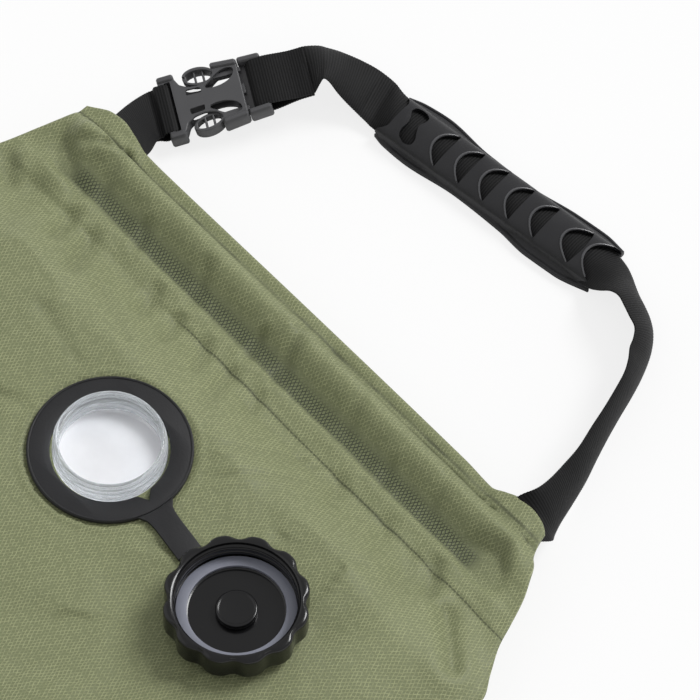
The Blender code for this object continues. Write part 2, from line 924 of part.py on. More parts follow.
def add_straps(buckle, grip, bar_middle):
    up = Vector((0, 0, 1))
    root = webbing_thickness / 2
    heading = math.radians(buckle_deg)
    pitch = math.radians(buckle_pitch_deg)
    forward = Vector((-math.sin(heading), math.cos(heading), 0))
    along_buckle = forward * math.cos(pitch) + up * math.sin(pitch)
    mouth = Vector((buckle_x, buckle_y, buckle_z))
    hem_out = Vector((0, 1, 0))

    # The short piece, from the hem to the fold round the housing's bar
    pocket_left = Vector((strap_root_left, top_edge - strap_root_depth, seam_height))
    edge_left = Vector((strap_root_left, top_edge + root, seam_height))
    spots = straight_spots(pocket_left, edge_left, -Vector((1, 0, 0)))
    bar = mouth + along_buckle * (buckle_bar / 2 - buckle_length)
    joined = bar - along_buckle * (short_fold_length + 2 * fit_gap)
    steps = strap_steps // 2
    for step in range(1, steps + 1):
        share = step / steps
        place = edge_left.lerp(joined, share)
        place.z = seam_height + (joined.z - seam_height) * smooth(share)
        turn = heading * share
        spots.append((place, -Vector((math.cos(turn), math.sin(turn), 0)), up, 0.0))
    ribbon("strap_short", spots, black_webbing)
    fold = bar_loop("strap_short_fold", short_fold_length, black_webbing)
    fold.location = (0, buckle_bar / 2 - buckle_length, 0)
    fold.rotation_euler = (0, 0, math.pi)
    fold.parent = buckle

    # The piece inside the grip, arched under its slots
    turn = math.radians(grip_deg)
    along_grip = Vector((math.cos(turn), math.sin(turn), 0))
    across_grip = up.cross(along_grip)
    inside = strap_floor_gap + grip_wall + 2 * fit_gap + root
    grip_middle = Vector((grip_x, grip_y, inside))
    reach = grip_length / 2 + grip_travel + webbing_thickness
    left_end = grip_middle - along_grip * reach
    right_end = grip_middle + along_grip * reach
    ribbon("strap_grip_run", straight_spots(left_end, right_end, across_grip, grip_crown), black_webbing)

    # From the male half to the grip, banked where it turns
    tail_end = mouth + along_buckle * (bar_middle + tail_length + fit_gap)
    start = left_end - along_grip * fit_gap
    ends = [
        tail_end,
        tail_end + forward * left_run_reach,
        start - along_grip * left_run_lead,
        start,
    ]
    bank = math.radians(left_run_bank_deg)

    def left_bank(share):
        return bank * smooth(share / bank_in_share) * smooth((1 - share) / bank_out_share)

    rise_ahead = math.tan(pitch) * 3 * left_run_reach
    spots = swept_spots(ends, (tail_end.z, inside), (0.0, grip_crown), left_bank, rise_ahead)
    ribbon("strap_left_run", spots, black_webbing)

    # From the grip to the hem, standing on its edge
    start = right_end + along_grip * fit_gap
    edge_right = Vector((strap_root_right, top_edge + root, seam_height))
    ends = [
        start,
        start + along_grip * right_run_reach,
        edge_right + hem_out * right_run_drop,
        edge_right,
    ]

    def right_bank(share):
        return math.radians(90) * smooth(share / stand_share) * smooth((1 - share) / lie_share)

    spots = swept_spots(ends, (inside, seam_height), (grip_crown, 0.0), right_bank)
    pocket_right = Vector((strap_root_right, top_edge - strap_root_depth, seam_height))
    spots += straight_spots(edge_right, pocket_right, Vector((1, 0, 0)))[1:]
    ribbon("strap_right_run", spots, black_webbing)
    return inside


def add_grip(grip, inside):
    """A D-shaped sleeve, drawn in at its waist, with crescent slots over the arched webbing."""
    points, faces = [], []
    arch = 7
    section = 0
    for step in range(grip_steps + 1):
        share = 2 * step / grip_steps - 1
        swell = math.cos(math.pi * share * waist_share) ** 2
        half = (grip_end_width - (grip_end_width - grip_waist_width) * swell) / 2
        x = share * grip_length / 2
        ring = [(half, strap_floor_gap), (half, strap_floor_gap + grip_flange)]
        for n in range(1, arch):
            angle = math.pi * n / arch
            ring.append(
                (
                    (half - grip_wall / 2) * math.cos(angle),
                    strap_floor_gap + grip_flange + (grip_height - grip_flange) * math.sin(angle),
                )
            )
        ring += [(-half, strap_floor_gap + grip_flange), (-half, strap_floor_gap)]
        section = len(ring)
        points += [(x, y, z) for y, z in ring]
    for step in range(grip_steps):
        for n in range(section):
            here = step * section + n
            onward = step * section + (n + 1) % section
            faces.append((here, here + section, onward + section, onward))
    faces.append(list(range(section)))
    faces.append([grip_steps * section + n for n in reversed(range(section))])
    sleeve = add_object("grip_sleeve", mesh_from("grip_sleeve", points, faces), grip_rubber)
    sleeve.parent = grip
    shape = bmesh.new()
    shape.from_mesh(sleeve.data)
    bmesh.ops.recalc_face_normals(shape, faces=shape.faces)
    shape.to_mesh(sleeve.data)
    shape.free()
    middle = Vector((0, 0, inside))
    ahead = Vector((grip_length / 2 + overrun, 0, 0))
    spots = straight_spots(middle - ahead, middle + ahead, Vector((0, 1, 0)), grip_crown)
    channel = ribbon(
        "grip_channel", spots, None, webbing_width + 2 * fit_gap, webbing_thickness + 2 * fit_gap
    )
    channel.parent = grip
    combine(sleeve, channel)
    half_count = (grip_slot_count - 1) / 2
    outlines = []
    for n in range(grip_slot_count):
        place = n - half_count
        x = place * grip_slot_pitch
        if abs(place) == half_count:
            x = math.copysign((half_count - 1) * grip_slot_pitch + grip_end_slot_pitch, place)
        outlines.append(crescent(x))
    slots = flat_solid("grip_slots", outlines, grip_height)
    slots.location = (0, 0, inside + grip_crown / 2 + grip_height / 2)
    slots.parent = grip
    combine(sleeve, slots)


def crescent(x):
    """A slot outline across the grip, bowed towards its -X end."""
    steps = outline_steps + 1
    half = grip_slot_length / 2
    near, far = [], []
    for n in range(steps + 1):
        share = 2 * n / steps - 1
        bow = grip_slot_bow * (1 - share * share)
        near.append((x - bow - grip_slot_width / 4, share * half))
        far.append((x - bow / 4 + grip_slot_width / 4, share * half))
    return near + list(reversed(far))


def add_outlet():
    """A barbed stem through the front panel, clamped by a nut over a washer."""
    port = frame_empty("outlet_axis", (0, outlet_y, 0))
    bore = outlet_bore / 2
    flange_top = panel_under - fit_gap
    flange_low = flange_top - outlet_flange_thickness
    top = bag_height + outlet_rise
    profile = [(outlet_stem_radius - outlet_barb, top)]
    for n in range(outlet_barb_count):
        low = top - (n + 1) * outlet_barb_pitch
        profile += [(outlet_stem_radius, low), (outlet_stem_radius - outlet_barb, low)]
    profile = profile[:-1]
    profile += [
        (outlet_stem_radius, flange_top),
        (outlet_flange_radius, flange_top),
        (outlet_flange_radius, flange_low),
        (bore, flange_low),
        (bore, top),
    ]
    spigot = turned("outlet_spigot", profile, outlet_plastic, small_steps)
    washer_low = bag_height + fit_gap
    washer_top = washer_low + outlet_washer_thickness
    hole = outlet_stem_radius + fit_gap
    washer = turned(
        "outlet_washer",
        [
            (outlet_washer_radius, washer_top),
            (outlet_washer_radius, washer_low),
            (hole, washer_low),
            (hole, washer_top),
        ],
        gasket_silicone,
        small_steps,
    )
    nut_low = washer_top + fit_gap
    hexagon = arc((0, 0), outlet_nut_radius, 0, 300, 5)
    nut = flat_solid("outlet_nut", [hexagon], outlet_nut_height, outlet_plastic, outlet_barb / 2)
    nut.location = (0, 0, nut_low + outlet_nut_height / 2)
    nut_top = nut_low + outlet_nut_height
    nut_hole = round_tool("outlet_nut_hole", hole, nut_low - overrun, nut_top + overrun)
    for piece in (spigot, washer, nut, nut_hole):
        piece.parent = port
    combine(nut, nut_hole)


add_panels()
add_hem()
add_fill_port()
leash_port = frame_empty("leash_turn_axis", (0, 0, 0), leash_deg)
add_cap(leash_port, add_leash(leash_port))
buckle_frame = frame_empty(
    "buckle_frame", (buckle_x, buckle_y, buckle_z), buckle_deg, buckle_pitch_deg
)
grip_frame = frame_empty("grip_slide_axis", (grip_x, grip_y, 0), grip_deg)
male_bar = add_buckle(buckle_frame)
webbing_height = add_straps(buckle_frame, grip_frame, male_bar)
add_grip(grip_frame, webbing_height)
add_outlet()
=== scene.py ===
import math

import bmesh
import bpy
from mathutils import Matrix, Vector, noise


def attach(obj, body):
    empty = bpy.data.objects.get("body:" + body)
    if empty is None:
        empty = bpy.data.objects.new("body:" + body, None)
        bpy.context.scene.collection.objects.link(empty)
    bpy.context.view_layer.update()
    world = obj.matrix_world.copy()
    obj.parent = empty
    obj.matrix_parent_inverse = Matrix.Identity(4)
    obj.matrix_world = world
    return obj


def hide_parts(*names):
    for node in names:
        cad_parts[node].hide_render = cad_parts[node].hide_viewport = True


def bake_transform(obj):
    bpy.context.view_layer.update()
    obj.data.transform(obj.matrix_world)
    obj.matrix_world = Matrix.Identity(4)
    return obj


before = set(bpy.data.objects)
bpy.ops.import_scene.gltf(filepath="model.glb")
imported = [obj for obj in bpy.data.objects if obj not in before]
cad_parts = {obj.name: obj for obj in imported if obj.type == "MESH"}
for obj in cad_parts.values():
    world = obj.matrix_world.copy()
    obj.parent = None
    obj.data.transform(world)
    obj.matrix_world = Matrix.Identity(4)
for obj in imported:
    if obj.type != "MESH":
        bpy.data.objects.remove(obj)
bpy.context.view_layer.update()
mm = 0.001  # every measure below is in millimetres


# Small tools: node graphs, meshes and shapes

def addNode(tree, kind, inputs=None, **settings):
    made = tree.nodes.new(kind)
    for key, value in settings.items():
        setattr(made, key, value)
    for key, value in (inputs or {}).items():
        if isinstance(value, bpy.types.NodeSocket):
            tree.links.new(value, made.inputs[key])
        else:
            made.inputs[key].default_value = value
    return made


def sums(tree, operation, a, b=0.0, c=0.0):
    return addNode(tree, "ShaderNodeMath", {0: a, 1: b, 2: c}, operation=operation).outputs[0]


def mixColour(tree, share, a, b, blend="MIX"):
    inputs = {"Factor": share, 6: a, 7: b}
    return addNode(tree, "ShaderNodeMix", inputs, data_type="RGBA", blend_type=blend).outputs[2]


def remap(tree, value, low, high, outLow=0.0, outHigh=1.0):
    inputs = {0: value, 1: low, 2: high, 3: outLow, 4: outHigh}
    return addNode(tree, "ShaderNodeMapRange", inputs, interpolation_type="SMOOTHSTEP").outputs[0]


def noiseValue(tree, point, scale, detail=3.0, roughness=0.5):
    inputs = {"Vector": point, "Scale": scale, "Detail": detail, "Roughness": roughness}
    return addNode(tree, "ShaderNodeTexNoise", inputs).outputs["Fac"]


def bump(tree, height, distance, strength=1.0, normal=None):
    inputs = {"Height": height, "Distance": distance, "Strength": strength}
    if normal:
        inputs["Normal"] = normal
    return addNode(tree, "ShaderNodeBump", inputs).outputs[0]


def objectPoint(tree):
    return addNode(tree, "ShaderNodeTexCoord").outputs["Object"]


def shades(colour, spread):
    # a darker and a lighter version of a colour
    return [tuple(c * share for c in colour) + (1,) for share in (1 - spread, 1 + spread)]


def newFinish(name, roughness, **sockets):
    material = bpy.data.materials.new(name)
    material.use_nodes = True
    tree = material.node_tree
    shader = tree.nodes["Principled BSDF"]
    shader.inputs["Roughness"].default_value = roughness
    for key, value in sockets.items():
        shader.inputs[key.replace("_", " ")].default_value = value
    return material, tree, shader


def feed(shader, **sockets):
    for key, value in sockets.items():
        shader.id_data.links.new(value, shader.inputs[key.replace("_", " ")])


def surfaceMix(tree, share, first, second):
    mixed = addNode(tree, "ShaderNodeMixShader", {0: share, 1: first.outputs[0], 2: second.outputs[0]})
    tree.links.new(mixed.outputs[0], tree.nodes["Material Output"].inputs["Surface"])


def wear(mesh, finish):
    mesh.materials.clear()
    mesh.materials.append(finish)


def showObject(name, data, finish=None):
    made = bpy.data.objects.new(name, data)
    bpy.context.scene.collection.objects.link(made)
    if finish:
        wear(data, finish)
    return made


def place(piece, body, finishSlot, *nodes):
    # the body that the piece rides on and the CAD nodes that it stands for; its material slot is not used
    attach(piece, body)
    if nodes:
        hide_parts(*nodes)


def meshOf(name, points, faces):
    mesh = bpy.data.meshes.new(name)
    mesh.from_pydata([Vector(p) * mm for p in points], [], faces)
    mesh.update()
    return mesh


def softEdges(made, angle=40):
    made.data.shade_smooth()
    made.data.set_sharp_from_angle(angle=math.radians(angle))


def settled(made):
    # the mesh that an object's modifiers or curve give
    graph = bpy.context.evaluated_depsgraph_get()
    return bpy.data.meshes.new_from_object(made.evaluated_get(graph))


def cutWith(made, finish, *cutters, operation="DIFFERENCE"):
    for cutter in cutters:
        modifier = made.modifiers.new("cut", "BOOLEAN")
        modifier.operation = operation
        modifier.solver = "EXACT"
        modifier.object = cutter
    bpy.context.view_layer.update()
    mesh = settled(made)
    made.modifiers.clear()
    made.data = mesh
    for cutter in cutters:
        bpy.data.objects.remove(cutter, do_unlink=True)
    wear(made.data, finish)


def faceOutward(mesh, weld=0.0, sliver=0.0, lift=0.0):
    # joins doubled points, drops slivers, lifts the mesh and turns its faces outward
    shape = bmesh.new()
    shape.from_mesh(mesh)
    if weld:
        bmesh.ops.remove_doubles(shape, verts=shape.verts, dist=weld * mm)
    if sliver:
        bmesh.ops.dissolve_degenerate(shape, edges=shape.edges, dist=sliver * mm)
    bmesh.ops.translate(shape, vec=(0, 0, lift * mm), verts=shape.verts)
    bmesh.ops.recalc_face_normals(shape, faces=shape.faces)
    shape.to_mesh(mesh)
    shape.free()


def tubeFaces(rows, around):
    # faces between rings of points, with one over each end
    faces = []
    for k in range(rows):
        for n in range(around):
            here, onward = k * around + n, k * around + (n + 1) % around
            faces.append((here, onward, onward + around, here + around))
    return faces + [list(reversed(range(around))), [rows * around + n for n in range(around)]]


def ease(share):
    share = min(max(share, 0.0), 1.0)
    return share * share * (3 - 2 * share)


def ramp(share, power=0.85):
    # rises steeply from 0 and levels out at 1, as a filled bag's side does
    share = min(max(share, 0.0), 1.0)
    return math.sin(math.pi / 2 * share) ** power


def bell(away, wide):
    # 1 in its middle, and falls off smoothly on both sides
    return math.exp(-((away / wide) ** 2))


def along(table, at):
    # reads a table of (place, value) rows along a smooth curve with no overshoot
    if at <= table[0][0]:
        return table[0][1]
    if at >= table[-1][0]:
        return table[-1][1]
    n = next(k for k in range(len(table) - 1) if at <= table[k + 1][0])

    def slope(k):
        return (table[k + 1][1] - table[k][1]) / (table[k + 1][0] - table[k][0])

    def tangent(k):
        if k == 0 or k == len(table) - 1:
            return slope(min(k, len(table) - 2))
        before, after = slope(k - 1), slope(k)
        return 0.0 if before * after <= 0 else 2 * before * after / (before + after)

    width = table[n + 1][0] - table[n][0]
    t = (at - table[n][0]) / width
    low, high = table[n][1], table[n + 1][1]
    curve = low * (1 + 2 * t) * (1 - t) ** 2 + high * t * t * (3 - 2 * t)
    return curve + width * (tangent(n) * t * (1 - t) ** 2 - tangent(n + 1) * t * t * (1 - t))


def lathe(name, profile, finish, steps=96, angle=35):
    # turns a closed (radius, height) outline about Z; radii of 0 close to a point
    points, faces = [], []
    rows = len(profile)
    for n in range(steps):
        turn = math.tau * n / steps
        points += [(r * math.cos(turn), r * math.sin(turn), z) for r, z in profile]
    for n in range(steps):
        near, far = n * rows, (n + 1) % steps * rows
        for m in range(rows):
            onward = (m + 1) % rows
            faces.append((near + m, far + m, far + onward, near + onward))
    mesh = meshOf(name, points, faces)
    faceOutward(mesh, weld=0.002, sliver=0.001)
    made = showObject(name, mesh, finish)
    softEdges(made, angle)
    return made


def rounded(profile, radius, steps=3):
    # rounds every corner of an outline
    done = []
    count = len(profile)
    for n, here in enumerate(profile):
        here = Vector(here)
        back = Vector(profile[n - 1]) - here
        on = Vector(profile[(n + 1) % count]) - here
        size = min(radius, back.length * 0.45, on.length * 0.45)
        start, end = here + back.normalized() * size, here + on.normalized() * size
        for step in range(steps + 1):
            t = step / steps
            done.append(tuple(start * (1 - t) ** 2 + here * 2 * t * (1 - t) + end * t * t))
    return done


def slab(name, outlines, low, high, finish=None, edge=0.0, edgeSteps=2):
    # closed (x, y) outlines raised from low to high, holes included, with rounded edges
    curve = bpy.data.curves.new(name, "CURVE")
    curve.dimensions = "2D"
    for outline in outlines:
        spline = curve.splines.new("POLY")
        spline.points.add(len(outline) - 1)
        for slot, point in zip(spline.points, outline):
            slot.co = (point[0] * mm, point[1] * mm, 0.0, 1.0)
        spline.use_cyclic_u = True
    curve.fill_mode = "BOTH"
    curve.extrude = ((high - low) / 2 - edge) * mm
    curve.bevel_depth = edge * mm
    curve.bevel_resolution = edgeSteps
    curve.offset = -edge * mm
    holder = showObject(name, curve)
    bpy.context.view_layer.update()
    mesh = settled(holder)
    bpy.data.objects.remove(holder, do_unlink=True)
    faceOutward(mesh, weld=0.001, lift=(low + high) / 2)
    made = showObject(name, mesh, finish)
    softEdges(made, 30)
    return made


def ringPoints(radius, steps, x=0.0, y=0.0):
    turns = [math.tau * n / steps for n in range(steps)]
    return [(x + radius * math.cos(turn), y + radius * math.sin(turn)) for turn in turns]


# Camera, floor and light

view = dict(azimuth=47.4, elevation=60.0, distance=8000.0, width=315.0, sensor=36.0, aim=(14.0, 132.3, 0.0))


def makeCamera():
    turn, tilt = math.radians(view["azimuth"]), math.radians(view["elevation"])
    back = Vector((math.sin(turn) * math.cos(tilt), -math.cos(turn) * math.cos(tilt), math.sin(tilt)))
    data = bpy.data.cameras.new("camera")
    data.sensor_width = view["sensor"]
    data.lens = view["sensor"] * view["distance"] / view["width"]
    data.clip_start, data.clip_end = 0.1, 100.0
    made = showObject("camera", data)
    made.location = (Vector(view["aim"]) + back * view["distance"]) * mm
    made.rotation_mode = "QUATERNION"
    made.rotation_quaternion = (-back).to_track_quat("-Z", "Y")
    bpy.context.scene.camera = made


light = dict(
    sky=0.48, sunStrength=2.1, sunAngle=24.0, sunFrom=(0.16, 0.80, 0.80), fill=0.22, fillAngle=60.0,
    fillFrom=(-0.8, -0.5, 0.8), floorSize=3000.0, floorDrop=0.2, floorTone=0.93, floorGlow=0.8,
)


def makeStudio():
    scene = bpy.context.scene
    scene.view_settings.view_transform = "Standard"
    world = bpy.data.worlds.new("studio")
    scene.world = world
    world.use_nodes = True
    tree = world.node_tree
    path = addNode(tree, "ShaderNodeLightPath")
    seen = sums(tree, "MAXIMUM", path.outputs["Is Camera Ray"], path.outputs["Is Transmission Ray"])
    strength = sums(tree, "MAXIMUM", seen, light["sky"])
    background = tree.nodes["Background"]
    background.inputs["Color"].default_value = (1, 1, 1, 1)
    tree.links.new(strength, background.inputs["Strength"])
    for name, power, origin, angle in (
        ("keyLight", light["sunStrength"], light["sunFrom"], light["sunAngle"]),
        ("fillLight", light["fill"], light["fillFrom"], light["fillAngle"]),
    ):
        lamp = bpy.data.lights.new(name, "SUN")
        lamp.energy = power
        lamp.angle = math.radians(angle)
        made = showObject(name, lamp)
        made.rotation_mode = "QUATERNION"
        made.rotation_quaternion = Vector(origin).to_track_quat("Z", "Y")

    # the camera sees a floor near white, and the object's light comes from its plain tone
    tone = light["floorTone"]
    finish, tree, shader = newFinish("paleFloor", 0.9, Base_Color=(tone, tone, tone, 1))
    path = addNode(tree, "ShaderNodeLightPath")
    glow = addNode(tree, "ShaderNodeEmission", {"Color": (1, 1, 1, 1), "Strength": 1.0})
    seen = sums(tree, "MULTIPLY", path.outputs["Is Camera Ray"], light["floorGlow"])
    surfaceMix(tree, seen, shader, glow)
    size, low = light["floorSize"], -light["floorDrop"]
    corners = [(-size, -size, low), (size, -size, low), (size, size, low), (-size, size, low)]
    floor = showObject("floor", meshOf("floor", corners, [(0, 1, 2, 3)]), finish)


makeCamera()
makeStudio()
print("stage: camera, floor and lights")


# Finishes

weave = dict(
    colour=(0.236, 0.258, 0.133), threads=(54.0, 114.0), pitch=1.56, wobble=0.75,
    # the weld band's darker colours keep its real weld pattern and add painted shade for the sunken band
    cell=(0.765, 0.775, 0.755, 1), thread=(1.47, 1.43, 1.49, 1), weldBandShade=(0.66, 0.68, 0.66, 1),
    # fold is a painted shade colour for the creases, wrinkle grooves and pits
    weldLatticeShade=(0.026, 0.030, 0.018, 1), fold=(0.07, 0.078, 0.042, 1), seam=(0.052, 0.060, 0.030, 1),
    # the seam colour is painted shade in the groove under the lip, and the stitches' own colour
    groove=117.7, stitch=75.79, stitchSlope=0.01923, stitchLength=1.3, stitchFrom=-45.0, stitchFull=-32.0,
)


def stitchesAndGrooveShade(tree, point, across, endways):
    # painted shade in the hem's groove below its lip, and the real stitched line on the panel
    patchy = remap(tree, noiseValue(tree, point, 60.0, 3.0), 0.35, 0.6, 0.35, 1.0)
    groove = sums(tree, "ABSOLUTE", sums(tree, "SUBTRACT", endways, weave["groove"]))
    groove = sums(tree, "MULTIPLY", remap(tree, groove, 0.2, 1.3, 0.62, 0.0), patchy)
    stitch = sums(tree, "MULTIPLY_ADD", across, weave["stitchSlope"], endways)
    stitch = sums(tree, "ABSOLUTE", sums(tree, "SUBTRACT", stitch, weave["stitch"]))
    dash = remap(tree, sums(tree, "PINGPONG", across, weave["stitchLength"]), 0.25, 0.5, 0.35, 1.0)
    stitch = sums(tree, "MULTIPLY", remap(tree, stitch, 0.2, 0.55, 0.75, 0.0), dash)
    stitch = sums(tree, "MULTIPLY", stitch, remap(tree, across, weave["stitchFrom"], weave["stitchFull"]))
    return sums(tree, "MAXIMUM", groove, stitch)


def fabricFinish():
    # coated ripstop: light diagonal threads over darker diamonds, both in the bag's own plane
    sockets = dict(Specular_IOR_Level=0.35, Sheen_Weight=0.12, Sheen_Roughness=0.4)
    finish, tree, shader = newFinish("oliveFabric", 0.55, **sockets)
    point = objectPoint(tree)
    split = addNode(tree, "ShaderNodeSeparateXYZ", {0: point})
    across, endways = [sums(tree, "MULTIPLY", split.outputs[axis], 1 / mm) for axis in "XY"]
    weld, fold = [
        addNode(tree, "ShaderNodeAttribute", attribute_name=name).outputs["Fac"] for name in ("weld", "fold")
    ]
    lines = []
    for turn in weave["threads"]:
        a = math.radians(turn)
        spread = sums(tree, "MULTIPLY", across, -math.sin(a) / weave["pitch"])
        wave = sums(tree, "MULTIPLY_ADD", endways, math.cos(a) / weave["pitch"], spread)
        wave = sums(tree, "MULTIPLY_ADD", noiseValue(tree, point, 260.0, 2.0), weave["wobble"], wave)
        lines.append(remap(tree, sums(tree, "PINGPONG", wave, 0.5), 0.30, 0.46))
    broken = remap(tree, noiseValue(tree, point, 420.0, 2.0), 0.32, 0.62, 0.25, 1.0)
    lattice = sums(tree, "MAXIMUM", *lines)
    thread = sums(tree, "MULTIPLY", lattice, broken)
    patch = noiseValue(tree, point, 22.0, 4.0, 0.6)
    base = mixColour(tree, patch, *shades(weave["colour"], 0.07))
    cell, lit, weldShaded = [
        mixColour(tree, 1.0, base, weave[name], "MULTIPLY") for name in ("cell", "thread", "weldBandShade")
    ]
    woven = mixColour(tree, thread, cell, lit)
    # the weld band: its lattice is a real weld pattern, and its darkening is partly painted shade of the sunken
    # band
    woven = mixColour(tree, weld, woven, mixColour(tree, lattice, weldShaded, weave["weldLatticeShade"]))
    # painted shade: the fold share darkens creases, grooves and pits towards the fold colour
    shaded = mixColour(tree, fold, woven, weave["fold"])
    # painted shade in the groove under the lip, and the real dark stitches
    shaded = mixColour(tree, stitchesAndGrooveShade(tree, point, across, endways), shaded, weave["seam"])
    fine = bump(tree, thread, 0.00022, 0.8)
    crumple = bump(tree, noiseValue(tree, point, 90.0, 3.0, 0.55), 0.0006, 0.5, fine)
    feed(shader, Base_Color=shaded, Roughness=remap(tree, patch, 0.2, 0.8, 0.50, 0.62), Normal=crumple)
    return finish


def plasticFinish(name, colour, roughness, grain, depth, **sockets):
    finish, tree, shader = newFinish(name, roughness, **sockets)
    point = objectPoint(tree)
    cloudy = noiseValue(tree, point, 70.0, 3.0)
    rough = remap(tree, cloudy, 0.25, 0.75, roughness * 0.92, roughness * 1.08)
    grained = bump(tree, noiseValue(tree, point, grain, 2.0), depth, 0.5)
    feed(shader, Base_Color=mixColour(tree, cloudy, *shades(colour, 0.1)), Roughness=rough, Normal=grained)
    return finish


def webbingFinish():
    sockets = dict(Specular_IOR_Level=0.2, Sheen_Weight=0.06, Sheen_Roughness=0.45)
    finish, tree, shader = newFinish("blackWebbing", 0.66, **sockets)
    point = objectPoint(tree)
    rib = addNode(tree, "ShaderNodeAttribute", attribute_name="rib").outputs["Fac"]
    fuzz = noiseValue(tree, point, 900.0, 2.0)
    # the rib crests are painted lighter, a painted highlight along the ribs; the fuzz varies the tone at random
    tone = remap(tree, sums(tree, "MULTIPLY_ADD", fuzz, 0.35, rib), 0.2, 1.2)
    colour = mixColour(tree, tone, (0.0012, 0.0012, 0.0014, 1), (0.013, 0.013, 0.0135, 1))
    feed(shader, Base_Color=colour, Normal=bump(tree, fuzz, 0.0002, 0.6))
    return finish


def clearFinish():
    sockets = dict(Transmission_Weight=0.78, IOR=1.38, Specular_IOR_Level=0.5)
    finish, tree, shader = newFinish("clearPlastic", 0.07, **sockets)
    point = objectPoint(tree)
    cloudy = noiseValue(tree, point, 60.0, 3.0)
    colour = mixColour(tree, cloudy, (0.70, 0.73, 0.75, 1), (0.82, 0.84, 0.85, 1))
    ripple = bump(tree, noiseValue(tree, point, 260.0), 0.0001, 0.3)
    feed(shader, Base_Color=colour, Roughness=remap(tree, cloudy, 0.2, 0.8, 0.04, 0.09), Normal=ripple)
    path = addNode(tree, "ShaderNodeLightPath")
    clear = addNode(tree, "ShaderNodeBsdfTransparent", {"Color": (0.93, 0.94, 0.95, 1)})
    surfaceMix(tree, path.outputs["Is Shadow Ray"], shader, clear)
    return finish


oliveFabric = fabricFinish()
blackWebbing = webbingFinish()
ringRubber = plasticFinish("ringRubber", (0.014, 0.014, 0.0155), 0.45, 900.0, 0.00012, Specular_IOR_Level=0.4)
capPlastic = plasticFinish("capPlastic", (0.004, 0.004, 0.0045), 0.20, 300.0, 0.00005)
gripRubber = plasticFinish("gripRubber", (0.016, 0.016, 0.018), 0.42, 1500.0, 0.00014, Specular_IOR_Level=0.4)
# the rims are painted lighter than the grip: a painted highlight along the slot rims
rimHighlightRubber = plasticFinish("rimHighlightRubber", (0.075, 0.075, 0.080), 0.34, 900.0, 0.0001)
bucklePlastic = plasticFinish("bucklePlastic", (0.072, 0.072, 0.076), 0.40, 1400.0, 0.00012)
gasketSilicone = plasticFinish("gasketSilicone", (0.225, 0.235, 0.285), 0.40, 300.0, 0.0001)
innerLining = plasticFinish("innerLining", (0.80, 0.80, 0.82), 0.55, 200.0, 0.0001)
outletPlastic = plasticFinish("outletPlastic", (0.035, 0.035, 0.038), 0.38, 900.0, 0.0001)
clearPlastic = clearFinish()
print("stage: finishes")


# Bag: one closed skin welded along its outline, with the hem folded over the strap's ends

bag = dict(
    seam=22.0, rise=25.0, under=21.75, bottom=-476.0, half=198.0, corner=55.0, hemTop=124.5, well=25.95,
    ring=39.0, outlet=-404.0, outletRoom=22.0, highest=26.6, underLeash=25.0, studSwing=(84.0, 120.0),
    panelTop=79.0, panelSlope=44.0, sideSlope=90.0, endSlope=48.0, underTop=90.0, underSlope=46.0, columns=190,
)
hem = dict(
    lip=1.6, taper=16.0, thinnest=0.35, rootFrom=111.0, rootLift=0.75, rootSag=0.6, crease=76.7, groove=117.8,
    weldFrom=88.3, weldTo=102.0, weldLeft=-136.0, weldRight=146.0,
)
# swellings over the webbing's two ends: place, half width, slope, share of the lift
hemRoots = ((-130, 15, 5, 1.0), (139, 20, 6, 2.6))
hemEdge = [
    (-170, 119), (-157, 119.5), (-151, 122.5), (-141, 128.4), (-133, 129.4), (-124, 127.6), (-113, 125),
    (-100, 124.6), (0, 124.3), (100, 123.4), (118, 122.4), (125, 124.8), (131, 127.4), (139, 128), (147, 126.6),
    (152, 123.6), (158, 117),
]
leftEdge = [
    (-20, 198), (20, 197), (36, 190), (60, 173), (81, 163), (90, 160), (100, 157), (110, 153.5), (120, 151),
]
rightEdge = [
    (0, 198), (25, 198), (46, 195), (57, 188), (70, 180), (80, 176), (94, 170), (104, 164), (115, 157.5),
    (122, 153.5), (127, 151.5),
]
hemRelief = [
    (76.2, 0), (77.2, 1.1), (79.5, 1.7), (85.8, 1.9), (87.2, 1.5), (88.4, 0.3), (91, 0.15), (95, 0.5),
    (99, 2), (103, 5), (107, 7.6), (110.5, 8.5), (113.5, 7.2), (116, 3.8), (117.5, 1.1),
    (118.2, 0.5), (119.2, 1.25), (126, 1.3),
]
hemBelly = [
    (84, 0), (90, 0.8), (100, 2.2), (108, 3.4), (114, 2.4), (117.8, 0.9), (120, 1.1), (126, 1.1),
]
